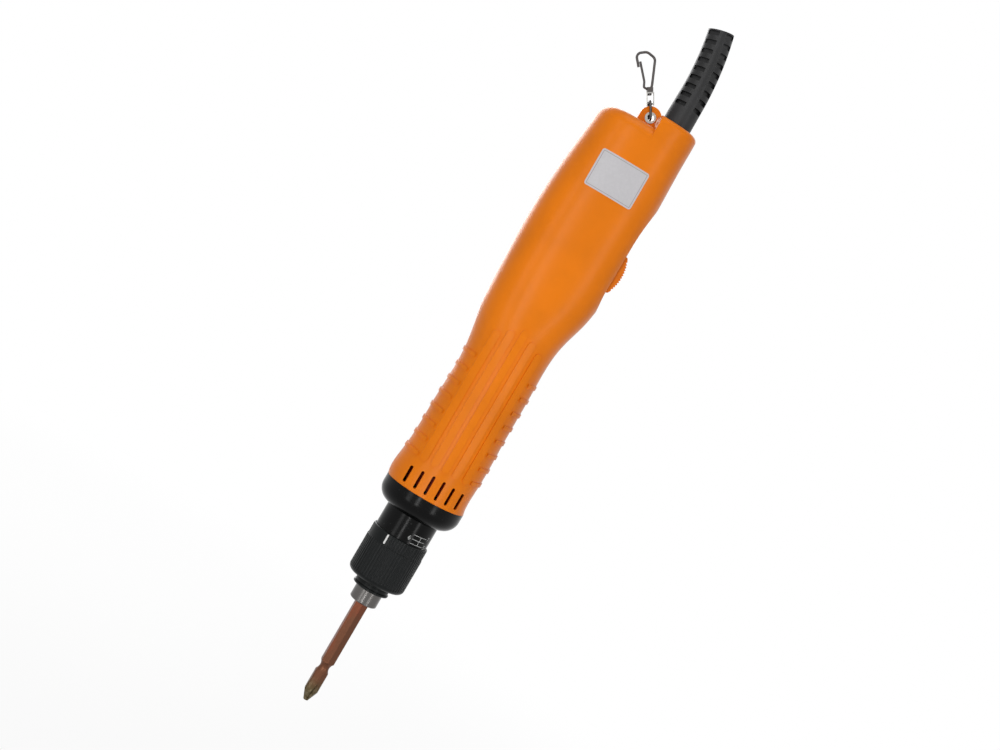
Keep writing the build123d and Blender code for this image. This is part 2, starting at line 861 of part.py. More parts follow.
with BuildPart() as brushes:
    with BuildSketch(Plane.XY.offset(brush_middle - brush_size / 2)):
        for side in (-1, 1):
            with Locations((side * (commutator_radius + turn_gap + 3.6), 0)):
                Rectangle(7.2, brush_size)
    extrude(amount=brush_size)
    with BuildSketch(Plane.XY.offset(brush_middle - brush_size / 2)):
        Circle(commutator_radius + turn_gap)
    extrude(amount=brush_size, mode=Mode.SUBTRACT)
brushes.part.label = "brushes"
export_step(brushes.part, "parts/brushes.step")

# Push rod and start switch
with BuildPart() as push_rod:
    with BuildSketch(Plane.XY.offset(tail_top)):
        Circle(rod_radius)
    extrude(amount=rod_top - tail_top)
push_rod.part.label = "push_rod"
export_step(push_rod.part, "parts/push_rod.step")

collar_low = rod_top + 1.0
collar_top = collar_low + 1.0
with BuildPart() as start_plunger:
    with BuildSketch(Plane.XY.offset(rod_top)):
        Circle(plunger_radius)
    extrude(amount=plunger_length)
    with BuildSketch(Plane.XY.offset(collar_low)):
        Circle(plunger_collar)
    extrude(amount=collar_top - collar_low)
start_plunger.part.label = "start_plunger"
export_step(start_plunger.part, "parts/start_plunger.step")

plunger_wire = 0.5
plunger_helix, plunger_start = coil(plunger_radius + 0.8, plunger_wire, collar_top, switch_low, 4)
with BuildPart() as plunger_spring:
    with BuildSketch(plunger_start):
        Rectangle(plunger_wire, plunger_wire)
    sweep(path=plunger_helix, is_frenet=True)
plunger_spring.part.label = "plunger_spring"
export_step(plunger_spring.part, "parts/plunger_spring.step")

switch_screw_z = switch_low + switch_height - 3.5
switch_screw_x = switch_width / 2 - 3.0
small_screw = 1.0
small_head = 1.9
with BuildPart() as start_switch:
    with BuildSketch(Plane.XY.offset(switch_low)):
        Rectangle(switch_width, switch_depth)
    extrude(amount=switch_height)
    with BuildSketch(Plane.XY.offset(switch_low)):
        Circle(plunger_radius + turn_gap)
    extrude(amount=plunger_length, mode=Mode.SUBTRACT)
    with BuildSketch(Plane.XZ):
        with Locations((-switch_screw_x, switch_screw_z), (switch_screw_x, switch_screw_z)):
            Circle(small_screw + slide_gap)
    extrude(amount=switch_depth, both=True, mode=Mode.SUBTRACT)
start_switch.part.label = "start_switch"
export_step(start_switch.part, "parts/start_switch.step")

# Direction switch behind the knob
dir_depth = 8.0
dir_left = 11.0
dir_right = 18.0
dir_length = 22.0
dir_low = knob_middle - dir_length / 2
stem_size = 4.0
stem_width = 3.0
dir_screws = [(dir_left + 2.6, dir_low + 2.6), (dir_left + 2.6, dir_low + dir_length - 2.6)]
with BuildPart() as direction_switch:
    with BuildSketch(Plane.XY.offset(dir_low)):
        with Locations(((dir_left + dir_right) / 2, 0)):
            Rectangle(dir_right - dir_left, dir_depth)
    extrude(amount=dir_length)
    with BuildSketch(Plane.YZ.offset(dir_right)):
        with Locations((0, knob_middle)):
            Rectangle(stem_width + 2 * slide_gap, stem_size + 2 * knob_travel + 2 * slide_gap)
    extrude(amount=-2.6, mode=Mode.SUBTRACT)
    with BuildSketch(Plane.XZ):
        with Locations(*dir_screws):
            Circle(small_screw + slide_gap)
    extrude(amount=dir_depth, both=True, mode=Mode.SUBTRACT)
direction_switch.part.label = "direction_switch"
export_step(direction_switch.part, "parts/direction_switch.step")

neck_left = recess_floor - wall - 1.6
with BuildPart() as direction_stem:
    with BuildSketch(Plane.YZ.offset(dir_right - 2.4)):
        with Locations((0, knob_middle)):
            Rectangle(stem_width, stem_size)
    extrude(amount=neck_left + 1.0 - dir_right + 2.4)
direction_stem.part.label = "direction_stem"
export_step(direction_stem.part, "parts/direction_stem.step")

knob_left = recess_floor + lay_gap
knob_arc = (knob_length**2 / 4 + (knob_reach - 1.6) ** 2) / (2 * (knob_reach - 1.6))
with BuildPart() as direction_knob:
    with BuildSketch(Plane.XZ):
        with BuildLine():
            low = knob_middle - knob_length / 2
            high = knob_middle + knob_length / 2
            Polyline(
                (knob_left + 1.6, low),
                (knob_left, low),
                (knob_left, high),
                (knob_left + 1.6, high),
            )
            ThreePointArc(
                (knob_left + 1.6, high),
                (knob_left + knob_reach, knob_middle),
                (knob_left + 1.6, low),
            )
        make_face()
    extrude(amount=knob_width / 2, both=True)
    fillet(direction_knob.edges().filter_by(Axis.Y).group_by(Axis.X)[-1], 1.0)
    with BuildSketch(Plane.XZ):
        middle_x = knob_left + knob_reach - knob_arc
        span = degrees(asin((knob_length / 2 - 1.8) / knob_arc))
        for tooth in range(knob_teeth):
            angle = radians(-span + 2 * span * (tooth + 0.5) / knob_teeth)
            with Locations((middle_x + knob_arc * cos(angle), knob_middle + knob_arc * sin(angle))):
                Rectangle(0.8, 0.8, rotation=45 + degrees(angle))
    extrude(amount=knob_width / 2, both=True, mode=Mode.SUBTRACT)
    with BuildSketch(Plane.YZ.offset(knob_left)):
        with Locations((0, knob_middle)):
            Rectangle(neck_width, neck_length)
    extrude(amount=neck_left - knob_left)
    with BuildSketch(Plane.YZ.offset(recess_floor - wall - lay_gap)):
        with Locations((0, knob_middle)):
            Rectangle(neck_width + 4, neck_length + 4)
    extrude(amount=neck_left - recess_floor + wall + lay_gap)
    with BuildSketch(Plane.YZ.offset(neck_left)):
        with Locations((0, knob_middle)):
            Rectangle(stem_width + 2 * fit_gap, stem_size + 2 * fit_gap)
    extrude(amount=1.0 + fit_gap, mode=Mode.SUBTRACT)
direction_knob.part.label = "direction_knob"
export_step(direction_knob.part, "parts/direction_knob.step")


def lofted(grow, low, high):
    """The front half of the housing's form, grown or shrunk, between two heights."""
    with BuildPart() as form:
        for height, left, right, depth, power in housing_stations:
            with BuildSketch(Plane.XY.offset(height)):
                with BuildLine():
                    Spline(*section(left, right, depth, power, grow), periodic=True)
                make_face()
        loft()
        with BuildSketch(Plane.XY.offset(low)):
            with Locations((0, -60)):
                Rectangle(120, 120)
        extrude(amount=high - low, mode=Mode.INTERSECT)
    return form.part


# Side recess, as an outline in the plane of the split
with BuildSketch(Plane.XZ) as recess:
    with BuildLine():
        low_lip = (recess_lip, recess_low - 5.5)
        low_end = (recess_floor, recess_low + 10.5)
        high_end = (recess_floor, recess_top - 19.0)
        high_lip = (recess_lip, recess_top + 5.0)
        ThreePointArc(low_lip, (recess_floor + 0.9, recess_low + 4.0), low_end)
        Line(low_end, high_end)
        ThreePointArc(high_end, (recess_floor + 0.7, recess_top - 10.0), high_lip)
        Polyline(high_lip, (recess_reach, high_lip[1]), (recess_reach, low_lip[1]), low_lip)
    make_face()

# Outline of the top: low shoulder on the left, boss for the strain relief on the right
with BuildSketch(Plane.XZ) as top_outline:
    with BuildLine():
        Polyline(
            (-40, seam),
            (-40, shoulder_top),
            (boss_left, shoulder_top),
            (boss_left, boss_top),
            (40, boss_top),
            (40, seam),
            (-40, seam),
        )
    make_face()
    fillet(top_outline.vertices().sort_by_distance((boss_left, 0, shoulder_top))[0], step_corner)

with BuildPart() as outer_form:
    add(lofted(0.0, seam, boss_top + 1))
    extrude(top_outline.sketch, amount=60, dir=(0, -1, 0), mode=Mode.INTERSECT)
    for level, corner in ((boss_top, right_corner), (shoulder_top, left_corner)):
        rims = outer_form.edges().filter_by(GeomType.LINE, reverse=True)
        fillet(rims.filter_by_position(Axis.Z, level - 0.01, level + 0.01), corner)
    extrude(recess.sketch, amount=60, dir=(0, -1, 0), mode=Mode.SUBTRACT)

with BuildPart() as cavity:
    add(lofted(-wall, seam + spigot_step, shoulder_top - wall))
    with BuildSketch(Plane.XZ):
        add(recess.sketch)
        offset(amount=wall)
    extrude(amount=60, mode=Mode.SUBTRACT)

# Ridges down the front of the grip and ribs on its sides, standing out of the same form
with BuildPart() as grip:
    add(lofted(grip_relief, ridge_low - 1, ridge_top + 1))
    with BuildSketch(Plane.XZ):
        for column in range(-2, 3):
            top = ridge_top - ridge_fall * abs(column)
            with Locations((column * ridge_pitch, (ridge_low + top) / 2)):
                SlotOverall(top - ridge_low, ridge_width, rotation=90)
        for row in range(rib_count):
            for side in (-1, 1):
                with Locations((side * (rib_inner + 10), rib_low + row * rib_pitch)):
                    Rectangle(20, rib_width)
    extrude(amount=60, mode=Mode.INTERSECT)

# Inside: cradles round the motor, posts for screws, and a spigot for the nose cap
cradle_heights = [78.0, 112.0]
cradle_height = 2.0
window_length = neck_length + 2 * knob_travel + 1.0
spigot_low = flange_top
flange_low_z = boss_top - 8.2
with BuildPart() as cradles:
    add(lofted(-wall + 0.5, seam, 150))
    with BuildSketch(Plane.XZ):
        for height in cradle_heights:
            with Locations((0, height + cradle_height / 2)):
                Rectangle(80, cradle_height)
    extrude(amount=60, mode=Mode.INTERSECT)
    with BuildSketch(Plane.XY.offset(seam)):
        Circle(motor_radius + lay_gap)
    extrude(amount=100, mode=Mode.SUBTRACT)

with BuildPart() as posts:
    add(outer_form.part)
    with BuildSketch(Plane.XZ):
        with Locations(*screw_places):
            Circle(post_radius)
    extrude(amount=60, mode=Mode.INTERSECT)

with BuildPart() as half:
    add(outer_form.part)
    add(grip.part)
    add(cavity.part, mode=Mode.SUBTRACT)
    add(cradles.part)
    add(posts.part)
    with BuildSketch(Plane.XY.offset(spigot_low)):
        with BuildLine():
            inner_edge = spigot_radius - spigot_wall
            ThreePointArc((-spigot_radius, 0), (0, -spigot_radius), (spigot_radius, 0))
            Line((spigot_radius, 0), (inner_edge, 0))
            ThreePointArc((inner_edge, 0), (0, -inner_edge), (-inner_edge, 0))
            Line((-inner_edge, 0), (-spigot_radius, 0))
        make_face()
    extrude(amount=seam + spigot_step - spigot_low)
    with BuildSketch(Plane.XY.offset(seam)):
        Circle(spigot_radius - spigot_wall)
    extrude(amount=spigot_step, mode=Mode.SUBTRACT)
    with BuildSketch(Plane.XZ):
        with Locations((ear_x, ear_z)):
            Circle(ear_radius)
        with Locations((ear_x, (shoulder_top - 1 + ear_z) / 2)):
            Rectangle(2 * ear_radius, ear_z - shoulder_top + 1)
    extrude(amount=ear_depth / 2)
    with BuildSketch(Plane.XZ):
        with Locations((ear_x, ear_z)):
            Circle(eyelet_radius + fit_gap)
    extrude(amount=ear_depth, mode=Mode.SUBTRACT)
    with BuildSketch(Plane.XZ):
        for column in range(vent_count):
            place = (column - (vent_count - 1) / 2) * vent_pitch
            drop = 1.6 * abs(place) / vent_pitch / 2.5
            with Locations((place, (vent_low + vent_top) / 2 - drop / 2)):
                SlotOverall(vent_top - vent_low - drop, vent_width, rotation=90)
    extrude(amount=60, mode=Mode.SUBTRACT)
    with BuildSketch(Plane.YZ.offset(recess_floor + 1)):
        with Locations((0, knob_middle)):
            Rectangle(neck_width + 2 * lay_gap, window_length)
    extrude(amount=-wall - 3, mode=Mode.SUBTRACT)
    with BuildSketch(Plane.XY.offset(shoulder_top - wall - 1)):
        with Locations((relief_x, 0)):
            Circle(relief_base_radius + slide_gap)
    extrude(amount=20, mode=Mode.SUBTRACT)
    with BuildSketch(Plane.XY.offset(flange_low_z)):
        with Locations((relief_x, 0)):
            Circle(relief_flange_radius + slide_gap)
    extrude(amount=relief_flange_height + slide_gap, mode=Mode.SUBTRACT)

head_floor = 12.0
front_half = half.part.moved(Location((0, -parting_gap / 2, 0)))
with BuildPart() as housing_front:
    add(front_half)
    with BuildSketch(Plane.XZ):
        with Locations(*screw_places):
            Circle(screw_radius + slide_gap)
    extrude(amount=head_floor, mode=Mode.SUBTRACT)
housing_front.part.label = "housing_front"
export_step(housing_front.part, "parts/housing_front.step")

rear_posts = [
    (-switch_screw_x, switch_screw_z, switch_depth / 2),
    (switch_screw_x, switch_screw_z, switch_depth / 2),
    (dir_screws[0][0], dir_screws[0][1], dir_depth / 2),
    (dir_screws[1][0], dir_screws[1][1], dir_depth / 2),
    (board_screws[0][0], board_screws[0][1], board_y + board_thickness),
    (board_screws[1][0], board_screws[1][1], board_y + board_thickness),
]
shelf_form = outer_form.part.mirror(Plane.XZ)
with BuildPart() as shelf_posts:
    for x, z, y in rear_posts:
        with BuildSketch(Plane.XZ.offset(-y)):
            with Locations((x, z)):
                Circle(2.4)
        extrude(amount=-40)
    add(shelf_form, mode=Mode.INTERSECT)

with BuildPart() as housing_rear:
    add(front_half.mirror(Plane.XZ))
    add(shelf_posts.part)
    with BuildSketch(Plane.XZ):
        with Locations(*screw_places):
            Circle(screw_radius + slide_gap)
    extrude(amount=-60, mode=Mode.SUBTRACT)
    with BuildSketch(Plane.XZ.offset(-head_floor)):
        with Locations(*screw_places):
            Circle(screw_head + slide_gap)
    extrude(amount=-60, mode=Mode.SUBTRACT)
    for x, z, y in rear_posts:
        with BuildSketch(Plane.XZ.offset(-y)):
            with Locations((x, z)):
                Circle(small_screw + slide_gap)
        extrude(amount=-6, mode=Mode.SUBTRACT)
housing_rear.part.label = "housing_rear"
export_step(housing_rear.part, "parts/housing_rear.step")

with BuildPart() as housing_screws:
    with BuildSketch(Plane.XZ.offset(-head_floor)):
        with Locations(*screw_places):
            Circle(screw_head)
    extrude(amount=-screw_head_height)
    with BuildSketch(Plane.XZ.offset(-head_floor)):
        with Locations(*screw_places):
            Circle(screw_radius)
    extrude(amount=head_floor + 10)
housing_screws.part.label = "housing_screws"
export_step(housing_screws.part, "parts/housing_screws.step")

# Small screws that hold the two switches and the board on the rear posts
small_screw_seats = [
    (-switch_screw_x, switch_screw_z, -switch_depth / 2, switch_depth),
    (switch_screw_x, switch_screw_z, -switch_depth / 2, switch_depth),
    (dir_screws[0][0], dir_screws[0][1], -dir_depth / 2, dir_depth),
    (dir_screws[1][0], dir_screws[1][1], -dir_depth / 2, dir_depth),
    (board_screws[0][0], board_screws[0][1], board_y, board_thickness),
    (board_screws[1][0], board_screws[1][1], board_y, board_thickness),
]
with BuildPart() as inner_screws:
    for x, z, seat, grip_length in small_screw_seats:
        with BuildSketch(Plane.XZ.offset(-seat)):
            with Locations((x, z)):
                Circle(small_head)
        extrude(amount=1.2)
        with BuildSketch(Plane.XZ.offset(-seat)):
            with Locations((x, z)):
                Circle(small_screw)
        extrude(amount=-grip_length - 5)
inner_screws.part.label = "inner_screws"
export_step(inner_screws.part, "parts/inner_screws.step")

# Nose cap
cap_bore = case_radius + slide_gap
with BuildPart() as nose_cap:
    with BuildSketch(Plane.XZ):
        with BuildLine():
            Polyline(
                (cap_radius, cap_low + cap_corner),
                (cap_radius, seam),
                (spigot_radius + slide_gap, seam),
                (spigot_radius + slide_gap, case_flange_low),
                (cap_bore, case_flange_low),
                (cap_bore, cap_low + 0.1),
            )
            RadiusArc((cap_bore, cap_low + 0.1), (cap_radius, cap_low + cap_corner), -cap_corner)
        make_face()
    revolve(axis=Axis.Z)
nose_cap.part.label = "nose_cap"
export_step(nose_cap.part, "parts/nose_cap.step")

# Control board with its parts
with BuildPart() as control_board:
    with BuildSketch(Plane.XZ.offset(-board_y)):
        with Locations(((board_left + board_right) / 2, (board_low + board_top) / 2)):
            Rectangle(board_right - board_left, board_top - board_low)
        with Locations(*board_screws):
            Circle(small_screw + slide_gap, mode=Mode.SUBTRACT)
    extrude(amount=-board_thickness)
control_board.part.label = "control_board"
export_step(control_board.part, "parts/control_board.step")

with BuildPart() as capacitors:
    with BuildSketch(Plane.XZ.offset(-board_y)):
        with Locations(*capacitor_places):
            Circle(capacitor_radius)
    extrude(amount=capacitor_length)
capacitors.part.label = "capacitors"
export_step(capacitors.part, "parts/capacitors.step")

with BuildPart() as transformer:
    with BuildSketch(Plane.XZ.offset(-board_y)):
        with Locations(transformer_place):
            Rectangle(transformer_width, transformer_length)
    extrude(amount=transformer_depth)
    chamfer(transformer.faces().sort_by(Axis.Y)[0].edges(), transformer_chamfer)
transformer.part.label = "transformer"
export_step(transformer.part, "parts/transformer.step")

with BuildPart() as heat_sink:
    with BuildSketch(Plane.XZ.offset(-board_y)):
        with Locations(sink_place):
            Rectangle(sink_width, sink_length)
        for slot in range(-1, 2):
            with Locations((sink_place[0] + sink_width / 2, sink_place[1] + slot * sink_pitch)):
                Rectangle(2 * sink_slot_depth, sink_slot_width, mode=Mode.SUBTRACT)
    extrude(amount=sink_depth)
heat_sink.part.label = "heat_sink"
export_step(heat_sink.part, "parts/heat_sink.step")

# Strain relief, along a straight run and one long bend
bend_middle = relief_x - relief_bend


def relief_plane(height):
    """The plane across the strain relief at a height measured along its line."""
    turn = max(0.0, height - relief_straight) / relief_bend
    if turn == 0.0:
        return Plane((relief_x, 0, height), x_dir=(1, 0, 0), z_dir=(0, 0, 1))
    x = bend_middle + relief_bend * cos(turn)
    z = relief_straight + relief_bend * sin(turn)
    return Plane((x, 0, z), x_dir=(cos(turn), 0, sin(turn)), z_dir=(-sin(turn), 0, cos(turn)))


relief_end = relief_straight + relief_bend * radians(relief_turn)
relief_low = flange_low_z


def relief_radius(height):
    """The strain relief's radius at a height along its line."""
    share = (height - boss_top) / (relief_end - boss_top)
    return relief_base_radius + (relief_end_radius - relief_base_radius) * max(0.0, share)


def relief_form(radius_at, low, high):
    """A round bar along the strain relief's line."""
    with BuildPart() as bar:
        with BuildSketch(relief_plane(low)):
            Circle(radius_at(low))
        with BuildSketch(relief_plane(relief_straight)):
            Circle(radius_at(relief_straight))
        loft()
        for share in range(5):
            height = relief_straight + (high - relief_straight) * share / 4
            with BuildSketch(relief_plane(height)):
                Circle(radius_at(height))
        loft()
    return bar.part


with BuildPart() as strain_relief:
    add(relief_form(relief_radius, relief_low, relief_end))
    with BuildSketch(Plane.XY.offset(relief_low)):
        with Locations((relief_x, 0)):
            Circle(relief_flange_radius)
    extrude(amount=relief_flange_height)
    for row in range(relief_rows):
        with BuildSketch(relief_plane(relief_row_low + row * relief_row_pitch)):
            reach = relief_base_radius + 2
            with PolarLocations((relief_core + reach) / 2, 4, start_angle=45):
                Rectangle(reach - relief_core, 2 * relief_core * 0.62)
        extrude(amount=relief_notch / 2, both=True, mode=Mode.SUBTRACT)
    add(relief_form(lambda height: relief_throat, relief_low, relief_end), mode=Mode.SUBTRACT)
    with BuildSketch(relief_plane(relief_end)):
        Circle(relief_bore)
    extrude(amount=-relief_socket, mode=Mode.SUBTRACT)
strain_relief.part.label = "strain_relief"
export_step(strain_relief.part, "parts/strain_relief.step")

# Eyelet, link, swivel, hook and gate
ear_face = ear_depth / 2 + parting_gap
with BuildPart() as eyelet:
    with BuildSketch(Plane.XZ):
        with Locations((ear_x, ear_z)):
            Circle(eyelet_radius)
    extrude(amount=ear_face, both=True)
    with BuildSketch(Plane.XZ.offset(ear_face)):
        with Locations((ear_x, ear_z)):
            Circle(eyelet_flange)
    extrude(amount=eyelet_lip)
    with BuildSketch(Plane.XZ.offset(-ear_face)):
        with Locations((ear_x, ear_z)):
            Circle(eyelet_flange)
    extrude(amount=-eyelet_lip)
    with BuildSketch(Plane.XZ):
        with Locations((ear_x, ear_z)):
            Circle(eyelet_bore)
    extrude(amount=ear_depth, both=True, mode=Mode.SUBTRACT)
eyelet.part.label = "eyelet"
export_step(eyelet.part, "parts/eyelet.step")

# The link is a long wire ring across the eyelet, in a plane that leans with the chain
lean = radians(chain_lean)
chain_up = (-sin(lean), 0, cos(lean))
chain_side = (cos(lean), 0, sin(lean))
link_plane = Plane((ear_x, 0, ear_z), x_dir=(0, 1, 0), z_dir=chain_side)
link_half = ear_depth / 2 + eyelet_lip + link_wire + wire_gap
link_low = link_wire + wire_gap - eyelet_bore
link_corner = 1.1
with BuildPart() as link:
    with BuildLine(link_plane) as link_path:
        side = link_half - link_corner
        low = link_low + link_corner
        high = link_length - link_corner
        Line((-side, link_low), (side, link_low))
        RadiusArc((side, link_low), (link_half, low), -link_corner)
        Line((link_half, low), (link_half, high))
        RadiusArc((link_half, high), (side, link_length), -link_corner)
        Line((side, link_length), (-side, link_length))
        RadiusArc((-side, link_length), (-link_half, high), -link_corner)
        Line((-link_half, high), (-link_half, low))
        RadiusArc((-link_half, low), (-side, link_low), -link_corner)
    with BuildSketch(Plane(link_path.line @ 0, z_dir=link_path.line % 0)):
        Circle(link_wire)
    sweep()
link.part.label = "link"
export_step(link.part, "parts/link.step")

# Swivel: a bent strap hung on the link by its pin, with the hook's stud in its base
chain_plane = Plane((ear_x, 0, ear_z), x_dir=chain_side, z_dir=(0, -1, 0))
across_plane = Plane((ear_x, 0, ear_z), x_dir=(0, 1, 0), z_dir=chain_up)
strap_pin_place = link_length - link_wire - strap_pin_radius - wire_gap
strap_low = ear_radius + lay_gap
with BuildPart() as swivel:
    with BuildSketch(chain_plane):
        with Locations((0, (strap_low + strap_top) / 2)):
            Rectangle(2 * strap_half, strap_top - strap_low)
        with Locations((0, (strap_low + strap_top) / 2 - strap_sheet)):
            Rectangle(2 * (strap_half - strap_sheet), strap_top - strap_low, mode=Mode.SUBTRACT)
    extrude(amount=strap_width / 2, both=True)
    with BuildSketch(link_plane):
        with Locations((0, strap_pin_place)):
            Circle(strap_pin_radius)
    extrude(amount=strap_half, both=True)
    with BuildSketch(across_plane):
        Circle(stud_radius + turn_gap)
    extrude(amount=strap_top + 1, mode=Mode.SUBTRACT)
swivel.part.label = "swivel"
export_step(swivel.part, "parts/swivel.step")

# Spring hook: headed stud, cheeks for the gate, and a wire that bends back over the top
cheek_low = strap_top + wire_gap
cheek_top = cheek_low + 2.2
gate_pivot = (-0.75, cheek_low + 1.1)
hook_points = [
    (0.6, cheek_top - 1.0),
    (1.2, 15.4),
    (2.7, 27.6),
    (-1.0, 30.6),
    (-6.4, 30.0),
    (-5.2, 23.6),
]
stud_low = strap_top - strap_sheet - wire_gap
hook_bends = [4.0, 2.6, 3.0, 2.2]
with BuildPart() as spring_hook:
    with BuildLine(chain_plane) as hook_path:
        FilletPolyline(*hook_points, radius=hook_bends)
    with BuildSketch(Plane(hook_path.line @ 0, z_dir=hook_path.line % 0)):
        Circle(hook_wire)
    sweep()
    with BuildSketch(chain_plane):
        with Locations((0.1, (cheek_low + cheek_top) / 2)):
            Rectangle(2.8, cheek_top - cheek_low)
    extrude(amount=1.5, both=True)
    with BuildSketch(across_plane.offset(stud_low)):
        Circle(stud_radius)
    extrude(amount=cheek_low - stud_low)
    with BuildSketch(across_plane.offset(stud_low)):
        Circle(stud_head)
    extrude(amount=-stud_head_height)
    with BuildSketch(chain_plane):
        with Locations((gate_pivot[0] - 1.0, gate_pivot[1])):
            Rectangle(3.6, 6)
    extrude(amount=hook_wire + wire_gap, both=True, mode=Mode.SUBTRACT)
    with BuildSketch(chain_plane):
        with Locations(gate_pivot):
            Circle(gate_pin + turn_gap)
    extrude(amount=3, both=True, mode=Mode.SUBTRACT)
spring_hook.part.label = "spring_hook"
export_step(spring_hook.part, "parts/spring_hook.step")

gate_points = [gate_pivot, (-2.7, 14.3), (-2.5, 17.0), (-4.4, 26.2)]
with BuildPart() as hook_gate:
    with BuildLine(chain_plane) as gate_path:
        FilletPolyline(*gate_points, radius=[0.8, 4.0])
    with BuildSketch(Plane(gate_path.line @ 0, z_dir=gate_path.line % 0)):
        Circle(hook_wire - 0.05)
    sweep()
    with BuildSketch(chain_plane):
        with Locations(gate_pivot):
            Circle(gate_pin)
    extrude(amount=1.5, both=True)
hook_gate.part.label = "hook_gate"
export_step(hook_gate.part, "parts/hook_gate.step")
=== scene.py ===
import logging
from collections.abc import Callable, Iterable
from dataclasses import dataclass, field
from enum import Enum
from math import atan2, cos, degrees, hypot, pi, radians, sin

import bmesh
import bpy
from mathutils import Matrix, Quaternion, Vector
from mathutils.bvhtree import BVHTree


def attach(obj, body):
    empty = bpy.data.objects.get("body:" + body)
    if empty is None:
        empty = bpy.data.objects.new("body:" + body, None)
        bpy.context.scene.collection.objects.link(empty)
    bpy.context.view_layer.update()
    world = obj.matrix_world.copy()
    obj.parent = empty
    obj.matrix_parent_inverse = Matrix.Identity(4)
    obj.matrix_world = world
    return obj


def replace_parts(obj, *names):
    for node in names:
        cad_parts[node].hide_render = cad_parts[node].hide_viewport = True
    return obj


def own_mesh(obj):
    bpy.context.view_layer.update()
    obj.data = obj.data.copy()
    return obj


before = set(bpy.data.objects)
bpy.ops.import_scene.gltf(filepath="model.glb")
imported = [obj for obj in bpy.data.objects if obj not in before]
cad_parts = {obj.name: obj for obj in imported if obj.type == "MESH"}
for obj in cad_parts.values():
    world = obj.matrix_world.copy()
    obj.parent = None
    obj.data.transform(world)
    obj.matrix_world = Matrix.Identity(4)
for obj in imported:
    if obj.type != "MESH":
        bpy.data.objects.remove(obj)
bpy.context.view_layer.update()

log = logging.getLogger("torque_screwdriver")
MM = 0.001
MERGE_WITHIN = 1e-7
Colour = tuple[float, float, float]
ORANGE: Colour = (0.735, 0.182, 0.0045)
WHITE = (1.0, 1.0, 1.0, 1.0)


class Grain(Enum):
    """How the fine marks of a surface run."""

    SPECKLED = "speckled"
    RINGED = "ringed"
    DRAWN = "drawn"


class Flow:
    """A value on its way through a material's nodes, with the arithmetic that acts on it."""

    def __init__(self, shader: "Nodes", socket: bpy.types.NodeSocket) -> None:
        """Keeps the socket that gives the value, and the tree that it belongs to."""
        self.shader = shader
        self.socket = socket

    def _maths(self, operation: str, first: "Flow | float", second: "Flow | float") -> "Flow":
        """Adds a Math node on two values."""
        node = self.shader.node("ShaderNodeMath", {"operation": operation}, {0: first, 1: second})
        return Flow(self.shader, node.outputs[0])

    def __add__(self, other: "Flow | float") -> "Flow":
        """The sum."""
        return self._maths("ADD", self, other)

    def __radd__(self, other: float) -> "Flow":
        """The sum, from the right."""
        return self._maths("ADD", other, self)

    def __sub__(self, other: "Flow | float") -> "Flow":
        """The difference."""
        return self._maths("SUBTRACT", self, other)

    def __rsub__(self, other: float) -> "Flow":
        """The difference, from the right."""
        return self._maths("SUBTRACT", other, self)

    def __mul__(self, other: "Flow | float") -> "Flow":
        """The product."""
        return self._maths("MULTIPLY", self, other)

    def __rmul__(self, other: float) -> "Flow":
        """The product, from the right."""
        return self._maths("MULTIPLY", other, self)

    def __gt__(self, other: "Flow | float") -> "Flow":
        """1 where this value is the larger one."""
        return self._maths("GREATER_THAN", self, other)

    def __abs__(self) -> "Flow":
        """The value without its sign."""
        return self._maths("ABSOLUTE", self, 0.0)

    def ease(self, low: float, high: float) -> "Flow":
        """0 below one value and 1 above another, with a smooth rise between them.

        Args:
            low: where the rise starts.
            high: where it ends.

        Returns:
            The eased value.
        """
        node = self.shader.node(
            "ShaderNodeMapRange",
            {"interpolation_type": "SMOOTHSTEP", "clamp": True},
            {"Value": self, "From Min": low, "From Max": high},
        )
        return Flow(self.shader, node.outputs[0])


class Nodes:
    """A node tree whose nodes are added by one method."""

    def __init__(self, tree: bpy.types.NodeTree) -> None:
        """Keeps the tree."""
        self.tree = tree

    def node(self, kind: str, settings: dict | None = None, sockets: dict | None = None) -> bpy.types.Node:
        """Adds a node.

        Args:
            kind: its type.
            settings: its own settings, set first.
            sockets: values or flows for its inputs, by name or number.

        Returns:
            The node.
        """
        node = self.tree.nodes.new(kind)
        for key, value in (settings or {}).items():
            setattr(node, key, value)
        for key, value in (sockets or {}).items():
            if isinstance(value, Flow):
                self.tree.links.new(value.socket, node.inputs[key])
            else:
                node.inputs[key].default_value = value
        return node


